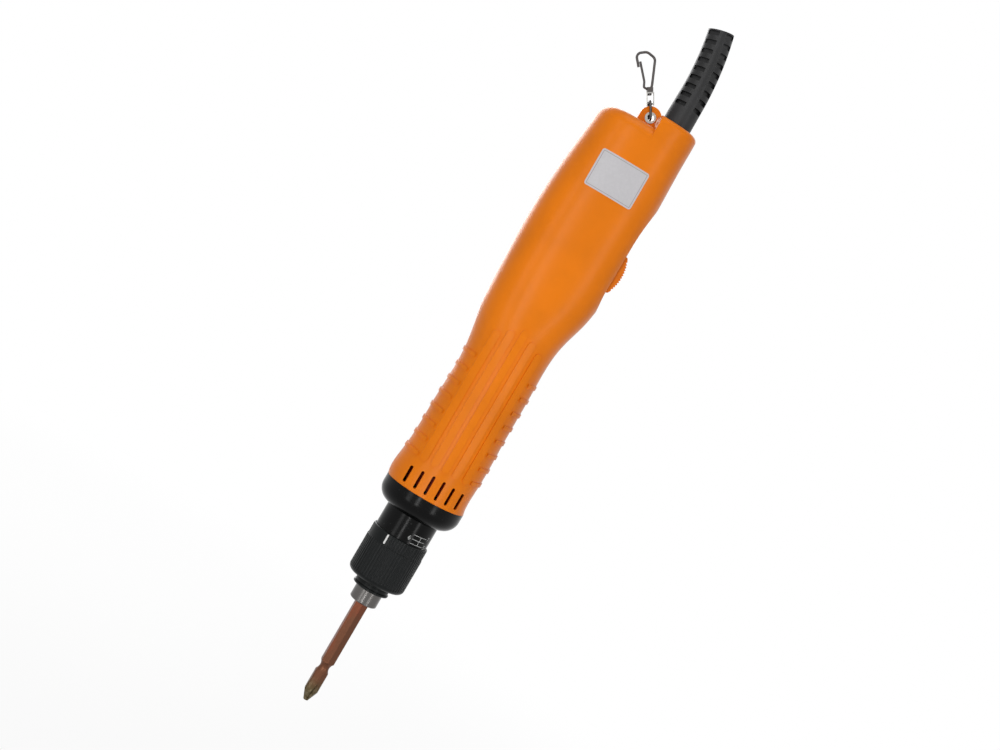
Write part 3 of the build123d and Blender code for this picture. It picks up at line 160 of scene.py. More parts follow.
class Shader(Nodes):
    """A material whose nodes are written as Python expressions."""

    def __init__(self, name: str) -> None:
        """Makes a material with one Principled shader.

        Args:
            name: the material's name.
        """
        self.material = bpy.data.materials.new(name)
        self.material.use_nodes = True
        super().__init__(self.material.node_tree)
        self.surface = self.tree.nodes["Principled BSDF"]
        place = self.node("ShaderNodeTexCoord")
        self.place = Flow(self, place.outputs["Object"])
        parts = self.node("ShaderNodeSeparateXYZ", {}, {0: self.place})
        self.x, self.y, self.z = (Flow(self, parts.outputs[axis]) for axis in range(3))

    def noise(self, scale: float, detail: float = 3.0, stretch: Colour = (1.0, 1.0, 1.0)) -> Flow:
        """Noise from about 0 to 1.

        Args:
            scale: its cells per metre.
            detail: how many finer layers it has.
            stretch: how much closer its cells lie along X, Y and Z.

        Returns:
            The noise.
        """
        mapped = self.node("ShaderNodeMapping", {}, {"Vector": self.place, "Scale": stretch})
        node = self.node(
            "ShaderNodeTexNoise",
            {},
            {"Vector": Flow(self, mapped.outputs[0]), "Scale": scale, "Detail": detail},
        )
        return Flow(self, node.outputs["Fac"])

    def blend(self, share: Flow, first: "Colour | Flow", second: "Colour | Flow") -> Flow:
        """A colour between two others.

        Args:
            share: 0 for the first colour and 1 for the second.
            first: a colour, or a flow of one.
            second: the other colour.

        Returns:
            The mixed colour.
        """
        ends = [end if isinstance(end, Flow) else (*end, 1.0) for end in (first, second)]
        node = self.node("ShaderNodeMix", {"data_type": "RGBA"}, {0: share, 6: ends[0], 7: ends[1]})
        return Flow(self, node.outputs[2])

    def bump(self, height: Flow, depth: float) -> None:
        """Sends a height to the surface's normal.

        Args:
            height: the height, from 0 to 1.
            depth: the depth of a full step, in metres.
        """
        node = self.node("ShaderNodeBump", {}, {"Height": height, "Distance": depth, "Strength": 1.0})
        self.tree.links.new(node.outputs[0], self.surface.inputs["Normal"])

    def feed(self, socket: str, value: "Flow | float | Colour") -> None:
        """Sets or links one socket of the surface.

        Args:
            socket: the socket's name.
            value: a flow, a number or a colour.
        """
        entry = self.surface.inputs[socket]
        if isinstance(value, Flow):
            self.tree.links.new(value.socket, entry)
        elif isinstance(value, tuple):
            entry.default_value = (*value, 1.0)
        else:
            entry.default_value = value


def seen_white(nodes: Nodes) -> Flow:
    """1 for the rays that show a white background: to the camera, in gloss and through glass.

    Args:
        nodes: the tree that asks.

    Returns:
        1 for those rays, and 0 for the others.
    """
    rays = nodes.node("ShaderNodeLightPath")
    shown, gloss, glass = (
        Flow(nodes, rays.outputs[name]) for name in ("Is Camera Ray", "Is Glossy Ray", "Is Transmission Ray")
    )
    return (shown + gloss + glass) > 0.5


def tint(colour: Colour, share: float) -> Colour:
    """A colour made lighter or darker.

    Args:
        colour: the colour.
        share: how many times as bright it becomes.

    Returns:
        The new colour.
    """
    return tuple(min(1.0, channel * share) for channel in colour)


@dataclass(frozen=True)
class MouldedPlastic:
    """Plastic with the fine sparked texture of its mould, and a parting line where the halves meet."""

    name: str
    colour: Colour
    roughness: float = 0.4
    texture: float = 2600.0
    texture_depth: float = 0.00002
    parting_line: bool = False
    line_edge: tuple[float, float] = (0.00005, 0.00016)
    line_depth: float = 3.0
    gloss: float = 0.16

    def make(self) -> bpy.types.Material:
        """The material: mottled colour, uneven gloss, sparked texture, and a darker, rougher, sunk line along
        the parting line.
        """
        shader = Shader(self.name)
        cloud = shader.noise(38.0, 4.0)
        rub = shader.noise(140.0, 5.0, (1.0, 1.0, 0.45))
        spark = shader.noise(self.texture, 2.0)
        colour = shader.blend(cloud.ease(0.3, 0.7), tint(self.colour, 0.94), tint(self.colour, 1.05))
        roughness = self.roughness + 0.10 * (rub - 0.5) + 0.05 * (spark - 0.5)
        height = spark
        if self.parting_line:
            line = 1.0 - abs(shader.y).ease(*self.line_edge)
            colour = shader.blend(0.65 * line, colour, tint(self.colour, 0.25))
            roughness = roughness + 0.3 * line
            height = spark - self.line_depth * line
        shader.feed("Base Color", colour)
        shader.feed("Roughness", roughness)
        shader.feed("Specular IOR Level", self.gloss)
        shader.bump(height, self.texture_depth)
        return shader.material


@dataclass(frozen=True)
class PolishedPlastic:
    """Polished plastic with hairline scratches and a little dust."""

    name: str
    colour: Colour
    roughness: float = 0.17
    gloss: float = 0.11
    scratch_depth: float = 0.000006
    dust_colour: Colour = (0.10, 0.10, 0.10)

    def make(self) -> bpy.types.Material:
        """The material: deep colour under a gloss that fine scratches break up."""
        shader = Shader(self.name)
        scratch = shader.noise(240.0, 6.0, (1.0, 1.0, 9.0))
        dust = shader.noise(700.0, 3.0)
        speck = dust.ease(0.66, 0.74)
        shader.feed("Base Color", shader.blend(0.15 * speck, self.colour, self.dust_colour))
        shader.feed("Roughness", self.roughness + 0.12 * scratch.ease(0.45, 0.75) + 0.2 * speck)
        shader.feed("Specular IOR Level", self.gloss)
        shader.bump(scratch, self.scratch_depth)
        return shader.material


@dataclass(frozen=True)
class BootRubber:
    """Black rubber, dull, with bloom and a fine skin."""

    name: str
    colour: Colour = (0.0065, 0.0065, 0.007)
    gloss: float = 0.3
    skin_depth: float = 0.00003

    def make(self) -> bpy.types.Material:
        """The material: dull black with grey bloom and a grained skin."""
        shader = Shader(self.name)
        bloom = shader.noise(90.0, 5.0).ease(0.4, 0.8)
        skin = shader.noise(1800.0, 4.0)
        shader.feed("Base Color", shader.blend(bloom, self.colour, tint(self.colour, 2.2)))
        shader.feed("Roughness", 0.36 + 0.16 * skin + 0.08 * bloom)
        shader.feed("Specular IOR Level", self.gloss)
        shader.bump(skin, self.skin_depth)
        return shader.material


@dataclass(frozen=True)
class WorkedMetal:
    """Metal with the marks of its making: turned rings, drawn lines or a blasted speckle."""

    name: str
    colour: Colour
    roughness: float = 0.3
    grain: Grain = Grain.SPECKLED
    stain: float = 0.08
    stain_colour: Colour = (0.12, 0.10, 0.08)
    mark_depth: float = 0.00001

    def _marks(self, shader: Shader) -> Flow:
        """The fine marks, as a height.

        Args:
            shader: the material that they are made in.

        Returns:
            The height from 0 to 1.
        """
        if self.grain is Grain.RINGED:
            return shader.noise(160.0, 4.0, (0.02, 0.02, 22.0))
        if self.grain is Grain.DRAWN:
            return shader.noise(900.0, 3.0, (1.0, 1.0, 0.05))
        return shader.noise(1500.0, 3.0)

    def make(self) -> bpy.types.Material:
        """The material: bare metal, its tool marks, and light stains."""
        shader = Shader(self.name)
        marks = self._marks(shader)
        stain = self.stain * shader.noise(220.0, 5.0).ease(0.5, 0.75)
        shade = shader.blend(marks, tint(self.colour, 0.9), tint(self.colour, 1.06))
        shader.feed("Base Color", shader.blend(stain, shade, self.stain_colour))
        shader.feed("Roughness", self.roughness + 0.14 * (marks - 0.5) + 0.5 * stain)
        shader.feed("Metallic", 1.0)
        shader.bump(marks, self.mark_depth)
        return shader.material


@dataclass(frozen=True)
class TemperedBit:
    """Hardened steel in its brown temper colour, worn olive and darker at the tip."""

    name: str = "tempered_bit"
    colour: Colour = (0.125, 0.047, 0.022)
    tip_colour: Colour = (0.080, 0.058, 0.024)
    red_patch: Colour = (0.165, 0.045, 0.020)
    bare_tip: Colour = (0.16, 0.125, 0.07)
    tip_from: float = -0.040
    tip_to: float = -0.050
    metal_share: float = 0.75
    drawn_depth: float = 0.00001

    def make(self) -> bpy.types.Material:
        """The material: brown steel with drawn lines, redder patches and a worn tip."""
        shader = Shader(self.name)
        drawn = shader.noise(800.0, 4.0, (1.0, 1.0, 0.06))
        patch = shader.noise(120.0, 4.0, (1.0, 1.0, 0.5)).ease(0.42, 0.68)
        brown = shader.blend(patch, self.colour, self.red_patch)
        tip = 1.0 - shader.z.ease(self.tip_to, self.tip_from)
        rubbed = shader.noise(650.0, 4.0).ease(0.4, 0.7)
        worn = shader.blend(rubbed, self.tip_colour, self.bare_tip)
        shader.feed("Base Color", shader.blend(tip, brown, worn))
        shader.feed("Metallic", self.metal_share)
        shader.feed("Roughness", 0.40 + 0.16 * (drawn - 0.5) - 0.06 * tip)
        shader.bump(drawn, self.drawn_depth)
        return shader.material


@dataclass(frozen=True)
class PrintedInk:
    """Opaque ink or paint, a little uneven where it lies thin."""

    name: str
    colour: Colour
    ink_depth: float = 0.00001

    def make(self) -> bpy.types.Material:
        """The material: matt ink, darker and duller where it lies thin."""
        shader = Shader(self.name)
        cover = shader.noise(1600.0, 4.0).ease(0.35, 0.6)
        shader.feed("Base Color", shader.blend(cover, tint(self.colour, 0.72), self.colour))
        shader.feed("Roughness", 0.62 - 0.1 * cover)
        shader.bump(cover, self.ink_depth)
        return shader.material


@dataclass(frozen=True)
class LabelFilm:
    """A bare satin label film with a thin printed border."""

    middle: tuple[float, float]
    half_width: float
    half_height: float
    border: float = 0.9 * MM
    line: float = 0.16 * MM
    film_colours: tuple[Colour, Colour] = ((0.43, 0.42, 0.435), (0.51, 0.50, 0.515))
    line_colour: Colour = (0.16, 0.10, 0.12)
    fibre_depth: float = 0.000008
    name: str = "label_film"

    def make(self) -> bpy.types.Material:
        """The material: pale film with a faint fibre, and a grey line round its edge."""
        shader = Shader(self.name)
        from_side = self.half_width - self.border - abs(shader.x - self.middle[0])
        from_end = self.half_height - self.border - abs(shader.z - self.middle[1])
        smaller = shader.node("ShaderNodeMath", {"operation": "MINIMUM"}, {0: from_side, 1: from_end})
        nearest = Flow(shader, smaller.outputs[0])
        rule = 1.0 - abs(nearest).ease(self.line * 0.5, self.line)
        fibre = shader.noise(900.0, 4.0)
        film = shader.blend(fibre, *self.film_colours)
        shader.feed("Base Color", shader.blend(0.75 * rule, film, self.line_colour))
        shader.feed("Roughness", 0.42 + 0.12 * fibre)
        shader.bump(fibre, self.fibre_depth)
        return shader.material


def show(name: str, data: bpy.types.ID) -> bpy.types.Object:
    """Puts some data into the scene.

    Args:
        name: the object's name.
        data: its mesh, curve, lamp or camera.

    Returns:
        The new object.
    """
    shown = bpy.data.objects.new(name, data)
    bpy.context.scene.collection.objects.link(shown)
    return shown


def points_of(made: dict) -> list[bmesh.types.BMVert]:
    """The points among what a bmesh operation made.

    Args:
        made: what the operation gave back.

    Returns:
        Its points.
    """
    return [item for item in made["geom"] if isinstance(item, bmesh.types.BMVert)]


def piece(
    name: str, mesh: bmesh.types.BMesh, material: bpy.types.Material, body: str
) -> bpy.types.Object:
    """Turns a bmesh into a smooth-shaded piece that rides on a body.

    Args:
        name: the piece's name.
        mesh: its shape in the frame's metres; it is freed.
        material: its finish.
        body: the CAD body that it moves with.

    Returns:
        The new object.
    """
    bmesh.ops.recalc_face_normals(mesh, faces=mesh.faces)
    data = bpy.data.meshes.new(name)
    mesh.to_mesh(data)
    mesh.free()
    data.materials.append(material)
    shown = show(name, data)
    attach(shown, body)
    log.info("%s: %d faces on %s", name, len(data.polygons), body)
    return shown


def smooth(mesh: bmesh.types.BMesh, sharp_over: float = 32.0) -> None:
    """Shades a bmesh smooth, except over edges that turn sharply.

    Args:
        mesh: the mesh.
        sharp_over: the angle in degrees past which an edge stays sharp.
    """
    for face in mesh.faces:
        face.smooth = True
    for edge in mesh.edges:
        edge.smooth = not edge.is_manifold or edge.calc_face_angle(0.0) < radians(sharp_over)


def lathe(profile: Iterable[tuple[float, float]], steps: int) -> bmesh.types.BMesh:
    """Spins a profile about Z.

    Args:
        profile: (radius, height) pairs in millimetres, closed from last to first.
        steps: how many columns of faces go round.

    Returns:
        The turned shape.
    """
    mesh = bmesh.new()
    points = [mesh.verts.new((radius * MM, 0, height * MM)) for radius, height in profile]
    edges = [mesh.edges.new(pair) for pair in zip(points, points[1:] + points[:1])]
    bmesh.ops.spin(
        mesh,
        geom=points + edges,
        cent=(0, 0, 0),
        axis=(0, 0, 1),
        angle=2 * pi,
        steps=steps,
        use_merge=True,
    )
    bmesh.ops.remove_doubles(mesh, verts=mesh.verts, dist=MERGE_WITHIN)
    return mesh


def rounded_sheet(width: float, height: float, corner: float, cells: float) -> bmesh.types.BMesh:
    """A flat sheet in XZ with round corners.

    Args:
        width: its size along X, in metres.
        height: its size along Z.
        corner: the radius of its corners.
        cells: about how large its faces are.

    Returns:
        The sheet, with its middle at the origin.
    """
    mesh = bmesh.new()
    across, up = (max(2, round(size / cells)) for size in (width, height))
    bmesh.ops.create_grid(mesh, x_segments=across, y_segments=up, size=1.0)
    for vert in mesh.verts:
        x, z = vert.co.x * width / 2, vert.co.y * height / 2
        over_x, over_z = abs(x) - width / 2 + corner, abs(z) - height / 2 + corner
        if over_x > 0 and over_z > 0:
            share = max(over_x, over_z) / hypot(over_x, over_z)
            x += (share - 1) * over_x * (1 if x > 0 else -1)
            z += (share - 1) * over_z * (1 if z > 0 else -1)
        vert.co = (x, 0, z)
    return mesh


def wrap(mesh: bmesh.types.BMesh, radius: float) -> None:
    """Bends a mesh that lies along X round the Z axis; X = 0 comes to the front.

    Args:
        mesh: the mesh, with its depth along -Y counted from the surface.
        radius: the radius of the surface, in metres.
    """
    for vert in mesh.verts:
        turn = vert.co.x / radius
        out = radius - vert.co.y
        vert.co = (out * sin(turn), -out * cos(turn), vert.co.z)


@dataclass
class Housing:
    """The two orange halves, their label and the screws at the back."""

    label_x: float = 0.5
    label_z: float = 232.2
    label_width: float = 24.8
    label_height: float = 18.8
    label_corner: float = 1.2
    label_thickness: float = 0.12
    label_cells: float = 0.6
    ray_start: float = -200.0
    screw_places: tuple[tuple[float, float], ...] = (
        (-17.5, 160.0), (16.0, 162.0), (-14.0, 252.5), (20.0, 238.0),
    )
    screw_seat: float = 12.0
    screw_head: float = 2.8
    screw_head_height: float = 1.8
    screw_head_round: float = 0.6
    screw_shank: float = 1.4
    screw_length: float = 22.0
    recess_width: float = 0.55
    recess_reach: float = 1.5
    recess_depth: float = 0.9
    orange: Colour = ORANGE

    def _surface(self) -> Callable[[float, float], float]:
        """A function that gives the front half's outer Y at an X and a Z."""
        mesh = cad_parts["housing_front"].data
        tree = BVHTree.FromPolygons(
            [vert.co.copy() for vert in mesh.vertices], [tuple(face.vertices) for face in mesh.polygons]
        )

        def depth(x: float, z: float) -> float:
            """The outer Y under a point of the front view."""
            hit, _, _, _ = tree.ray_cast(Vector((x, self.ray_start * MM, z)), Vector((0, 1, 0)))
            return hit.y

        return depth

    def _label(self) -> None:
        """Lays the bare label on the front."""
        film = LabelFilm(
            middle=(self.label_x * MM, self.label_z * MM),
            half_width=self.label_width / 2 * MM,
            half_height=self.label_height / 2 * MM,
        )
        depth = self._surface()
        sheet = rounded_sheet(
            self.label_width * MM, self.label_height * MM, self.label_corner * MM, self.label_cells * MM
        )
        bmesh.ops.translate(sheet, verts=sheet.verts, vec=(self.label_x * MM, 0, self.label_z * MM))
        for vert in sheet.verts:
            vert.co.y = depth(vert.co.x, vert.co.z)
        under = bmesh.ops.duplicate(sheet, geom=sheet.faces[:])
        bmesh.ops.translate(sheet, verts=points_of(under), vec=(0, -self.label_thickness * MM, 0))
        rims = [edge for edge in sheet.edges if edge.is_boundary]
        bmesh.ops.bridge_loops(sheet, edges=rims)
        smooth(sheet, 50)
        piece("label", sheet, film.make(), "body")

    def _screw(self, mesh: bmesh.types.BMesh, x: float, z: float) -> None:
        """Adds one cross-recessed screw to a mesh, with its head towards +Y.

        Args:
            mesh: the mesh that takes it.
            x: its place, in millimetres.
            z: its height.
        """
        turn = Matrix.Translation((x * MM, self.screw_seat * MM, z * MM)) @ Matrix.Rotation(-pi / 2, 4, "X")
        shank = Matrix.Translation((0, 0, (self.screw_head_height - self.screw_length) / 2 * MM))
        bmesh.ops.create_cone(
            mesh,
            cap_ends=True,
            segments=20,
            radius1=self.screw_shank * MM,
            radius2=self.screw_shank * MM,
            depth=self.screw_length * MM,
            matrix=turn @ shank,
        )
        head = bmesh.new()
        bmesh.ops.create_circle(head, cap_ends=True, segments=32, radius=self.screw_head * MM)
        lifted = bmesh.ops.extrude_face_region(head, geom=head.faces[:])
        bmesh.ops.translate(head, verts=points_of(lifted), vec=(0, 0, self.screw_head_height * MM))
        rim = [edge for edge in head.edges if all(vert.co.z > 0.5 * MM for vert in edge.verts)]
        rounding = self.screw_head_round * MM
        bmesh.ops.bevel(head, geom=rim, offset=rounding, segments=4, affect="EDGES", profile=0.5, material=-1)
        for way in ((1, 0, 0), (0, 1, 0)):
            for side in (-1, 1):
                for reach in (self.recess_width / 2, self.recess_reach):
                    bmesh.ops.bisect_plane(
                        head,
                        geom=head.verts[:] + head.edges[:] + head.faces[:],
                        plane_co=Vector(way) * side * reach * MM,
                        plane_no=way,
                    )
        near, far = self.recess_width / 2 * MM, self.recess_reach * MM
        cross = [
            face
            for face in head.faces
            if face.normal.z > 0.9
            and face.calc_center_median().z > self.screw_head_height * MM * 0.9
            and min(abs(face.calc_center_median().x), abs(face.calc_center_median().y)) < near
            and max(abs(face.calc_center_median().x), abs(face.calc_center_median().y)) < far
        ]
        sunk = bmesh.ops.extrude_face_region(head, geom=cross)
        bmesh.ops.translate(head, verts=points_of(sunk), vec=(0, 0, -self.recess_depth * MM))
        bmesh.ops.delete(head, geom=cross, context="FACES")
        bmesh.ops.transform(head, matrix=turn, verts=head.verts)
        data = bpy.data.meshes.new("screw_head_scratch")
        head.to_mesh(data)
        head.free()
        mesh.from_mesh(data)
        bpy.data.meshes.remove(data)

    def build(self) -> None:
        """Dresses the halves, lays the label and makes the screws."""
        plastic = MouldedPlastic("orange_housing", self.orange, roughness=0.30, parting_line=True, gloss=0.12)
        dress(["housing_front", "housing_rear"], plastic.make())
        self._label()
        screws = bmesh.new()
        for x, z in self.screw_places:
            self._screw(screws, x, z)
        smooth(screws)
        steel = WorkedMetal("black_screw", (0.10, 0.10, 0.11), roughness=0.34, stain=0.2)
        made = piece("housing_screw_set", screws, steel.make(), "body")
        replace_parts(made, "housing_screws")


@dataclass
class TorqueNut:
    """The fine-knurled nut with its index mark, and the lock ring under it."""

    low: float = 11.5
    hub_top: float = 17.0
    corner: float = 2.7
    radius: float = 14.7
    band_radius: float = 14.45
    band_low: float = 30.9
    top: float = 36.8
    bore: float = 13.6
    hub_bore: float = 9.05
    teeth: int = 60
    columns: int = 4
    groove_depth: float = 0.50
    patch_from: float = -80.0
    patch_to: float = -21.0
    mark_turn: float = -28.0
    mark_width: float = 0.9
    mark_low: float = 31.5
    mark_high: float = 36.3
    mark_corner: float = 0.2
    mark_cells: float = 0.15
    mark_lift: float = 0.03
    knurl_margins: tuple[float, float] = (0.4, 0.25)
    black: Colour = (0.0062, 0.0074, 0.0074)

    def _profile(self) -> list[tuple[float, float]]:
        """The nut's section as (radius, height) pairs, with rings of points for the knurl."""
        inner = self.radius - self.corner
        middle = self.low + self.corner
        arc = [
            (inner + self.corner * sin(radians(turn)), middle - self.corner * cos(radians(turn)))
            for turn in range(0, 91, 15)
        ]
        below, above = self.knurl_margins
        wall = [(self.radius, middle + below), (self.radius, self.band_low - above)]
        band = [
            (self.band_radius, self.band_low),
            (self.band_radius, self.top - 0.7),
            (self.band_radius - 0.15, self.top - 0.25),
            (self.band_radius - 0.4, self.top),
        ]
        inside = [(self.bore, self.top), (self.bore, self.hub_top), (self.hub_bore, self.hub_top)]
        return arc + wall + band + inside + [(self.hub_bore, self.low)]

    def _in_patch(self, turn: float) -> bool:
        """Whether a turn from the front, in degrees, lies on the smooth patch of the upper band."""
        return self.patch_from < turn < self.patch_to

    def _knurl(self, mesh: bmesh.types.BMesh) -> None:
        """Sinks one column of points in each tooth, which leaves narrow grooves between flat lands."""
        step = 2 * pi / (self.columns * self.teeth)
        for vert in mesh.verts:
            out = hypot(vert.co.x, vert.co.y) / MM
            height = vert.co.z / MM
            if out < self.band_radius - 0.05 or not self.low + self.corner < height < self.top - 0.3:
                continue
            turn = degrees(atan2(vert.co.x, -vert.co.y))
            if height > self.band_low - 0.1 and self._in_patch(turn):
                continue
            if round(atan2(vert.co.y, vert.co.x) / step) % self.columns == 0:
                share = (out - self.groove_depth) / out
                vert.co.x *= share
                vert.co.y *= share

    def _mark(self) -> None:
        """The white index mark on the smooth patch."""
        height = (self.mark_high - self.mark_low) * MM
        mark = rounded_sheet(self.mark_width * MM, height, self.mark_corner * MM, self.mark_cells * MM)
        raised = bmesh.ops.extrude_face_region(mark, geom=mark.faces[:])
        bmesh.ops.translate(mark, verts=points_of(raised), vec=(0, -self.mark_lift * MM, 0))
        along = radians(self.mark_turn) * self.band_radius
        middle = (self.mark_low + self.mark_high) / 2
        bmesh.ops.translate(mark, verts=mark.verts, vec=(along * MM, 0, middle * MM))
        wrap(mark, self.band_radius * MM)
        smooth(mark, 50)
        ink = PrintedInk("index_paint", (0.80, 0.80, 0.78))
        piece("index_mark", mark, ink.make(), "torque_nut")

    def build(self) -> None:
        """Makes the nut in place of its CAD node, its mark, and dresses the lock ring."""
        black = MouldedPlastic(
            "black_nut", self.black, roughness=0.30, texture=3400.0, texture_depth=0.00001, gloss=0.12
        ).make()
        mesh = lathe(self._profile(), self.columns * self.teeth)
        self._knurl(mesh)
        smooth(mesh, 24)
        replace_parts(piece("knurled_nut", mesh, black, "torque_nut"), "torque_nut")
        self._mark()
        dress(["lock_ring"], black)


@dataclass
class GraduatedCase:
    """The polished tube with its printed scale, and the nose cap above it."""

    radius: float = 13.45
    print_lift: float = 0.035
    line_width: float = 0.24
    line_heights: tuple[float, ...] = (37.8, 40.0, 42.2)
    line_from: float = 16.0
    line_to: float = 50.0
    stem_turn: float = 34.0
    digit_height: float = 2.1
    font_share: float = 1.4
    digits: tuple[tuple[str, float, float], ...] = (("6", 9.5, 40.0), ("7", 56.0, 42.2), ("5", 56.0, 37.8))
    black: Colour = (0.0012, 0.0013, 0.0013)

    def _strip(
        self, mesh: bmesh.types.BMesh, turns: tuple[float, float], heights: tuple[float, float]
    ) -> None:
        """Adds a flat printed strip, unrolled.

        Args:
            mesh: the mesh that takes it.
            turns: where it starts and ends round the tube, in degrees from the front.
            heights: its lower and upper edge, in millimetres.
        """
        reach = [radians(turn) * self.radius * MM for turn in turns]
        columns = max(2, round((turns[1] - turns[0]) / 2))
        place = Matrix.Translation((sum(reach) / 2, 0, sum(heights) / 2 * MM))
        size = Matrix.Diagonal(((reach[1] - reach[0]) / 2, 1, (heights[1] - heights[0]) / 2 * MM, 1))
        bmesh.ops.create_grid(
            mesh,
            x_segments=columns,
            y_segments=2,
            size=1.0,
            matrix=place @ size @ Matrix.Rotation(pi / 2, 4, "X"),
        )

    def _digit(self, mesh: bmesh.types.BMesh, text: str, turn: float, height: float) -> None:
        """Adds one printed number, unrolled.

        Args:
            mesh: the mesh that takes it.
            text: the number.
            turn: its middle round the tube, in degrees from the front.
            height: its middle, in millimetres.
        """
        curve = bpy.data.curves.new("digit_scratch", "FONT")
        curve.body = text
        curve.align_x = "CENTER"
        curve.align_y = "CENTER"
        curve.size = self.digit_height * MM * self.font_share
        curve.resolution_u = 6
        holder = show("digit_scratch", curve)
        bpy.context.view_layer.update()
        flat = bpy.data.meshes.new_from_object(holder.evaluated_get(bpy.context.evaluated_depsgraph_get()))
        place = Matrix.Translation((radians(turn) * self.radius * MM, 0, height * MM))
        flat.transform(place @ Matrix.Rotation(pi / 2, 4, "X"))
        mesh.from_mesh(flat)
        bpy.data.objects.remove(holder)
        bpy.data.curves.remove(curve)
        bpy.data.meshes.remove(flat)

    def _scale(self) -> None:
        """Prints the scale's lines and numbers on the tube."""
        mesh = bmesh.new()
        half = self.line_width / 2
        for height in self.line_heights:
            self._strip(mesh, (self.line_from, self.line_to), (height - half, height + half))
        width = degrees(half / self.radius)
        self._strip(
            mesh,
            (self.stem_turn - width, self.stem_turn + width),
            (self.line_heights[0] - half, self.line_heights[-1] + half),
        )
        for text, turn, height in self.digits:
            self._digit(mesh, text, turn, height)
        bmesh.ops.remove_doubles(mesh, verts=mesh.verts, dist=MERGE_WITHIN)
        raised = bmesh.ops.extrude_face_region(mesh, geom=mesh.faces[:])
        bmesh.ops.translate(mesh, verts=points_of(raised), vec=(0, -self.print_lift * MM, 0))
        wrap(mesh, self.radius * MM)
        smooth(mesh, 50)
        ink = PrintedInk("scale_ink", (0.46, 0.47, 0.46))
        piece("torque_scale", mesh, ink.make(), "body")

    def build(self) -> None:
        """Dresses the tube and the nose cap, and prints the scale."""
        gloss = PolishedPlastic("polished_black", self.black)
        dress(["gear_case", "nose_cap"], gloss.make())
        self._scale()


@dataclass
class Chuck:
    """The chuck sleeve and the bit."""

    silver: Colour = (0.118, 0.113, 0.109)

    def build(self) -> None:
        """Dresses the sleeve and the bit."""
        turned = WorkedMetal("turned_collar", self.silver, roughness=0.24, grain=Grain.RINGED, stain=0.12)
        dress(["chuck_sleeve"], turned.make())
        dress(["bit"], TemperedBit().make())


@dataclass
class HangingChain:
    """Eyelet, link, swivel, spring hook and gate."""

    bright: Colour = (0.42, 0.41, 0.39)
    wire: Colour = (0.070, 0.064, 0.062)

    def build(self) -> None:
        """Dresses the chain: a bright eyelet and strap, and greyer wire."""
        sheet = WorkedMetal("bright_sheet", self.bright, roughness=0.22, stain=0.12)
        wire = WorkedMetal("hook_wire", self.wire, roughness=0.40, grain=Grain.DRAWN, stain=0.25)
        dress(["eyelet", "swivel"], sheet.make())
        dress(["link", "spring_hook", "hook_gate"], wire.make())


@dataclass
class StrainRelief:
    """The ribbed rubber boot at the tail."""

    def build(self) -> None:
        """Dresses the boot."""
        dress(["strain_relief"], BootRubber("boot_rubber").make())


@dataclass
class DirectionKnob:
    """The toothed slide knob in its recess."""

    orange: Colour = ORANGE

    def build(self) -> None:
        """Dresses the knob, in a plastic with a finer texture than the housing's."""
        plastic = MouldedPlastic("orange_knob", self.orange, roughness=0.33, texture=3200.0)
        dress(["direction_knob"], plastic.make())


@dataclass(frozen=True)
class SpringSeat:
    """How one spring is seated: the joint that presses it, its body, its fixed end and the joint's travel."""

    node: str
    joint: str
    body: str
    fixed_end: float
    travel: float


@dataclass
class Springs:
    """The three compression springs."""

    seats: tuple[SpringSeat, ...] = (
        SpringSeat("clutch_spring", "torque_seat_slide", "body", 31.2, 4.5),
        SpringSeat("plunger_spring", "plunger_slide", "body", 138.5, 2.0),
        SpringSeat("chuck_spring", "sleeve_slide", "spindle", 16.6, 3.0),
    )

    def _spring(self, seat: SpringSeat, steel: bpy.types.Material) -> None:
        """Makes a smooth-shaded spring in place of its node, with a mesh of its own.

        Args:
            seat: how it is held and pressed.
            steel: its finish.
        """
        mesh = bmesh.new()
        mesh.from_mesh(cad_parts[seat.node].data)
        bmesh.ops.remove_doubles(mesh, verts=mesh.verts, dist=1e-6)
        smooth(mesh, 50)
        low = min(vert.co.z for vert in mesh.verts) / MM
        high = max(vert.co.z for vert in mesh.verts) / MM
        moving_end = low if abs(high - seat.fixed_end) < abs(low - seat.fixed_end) else high
        length = abs(seat.fixed_end - moving_end)
        spring = piece(f"sprung_{seat.node}", mesh, steel, seat.body)
        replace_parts(spring, seat.node)
        (length - seat.travel) / length
        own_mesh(spring)

    def build(self) -> None:
        """Makes the three springs."""
        steel = WorkedMetal("drawn_spring", (0.45, 0.45, 0.47), 0.30, Grain.DRAWN).make()
        for seat in self.seats:
            self._spring(seat, steel)


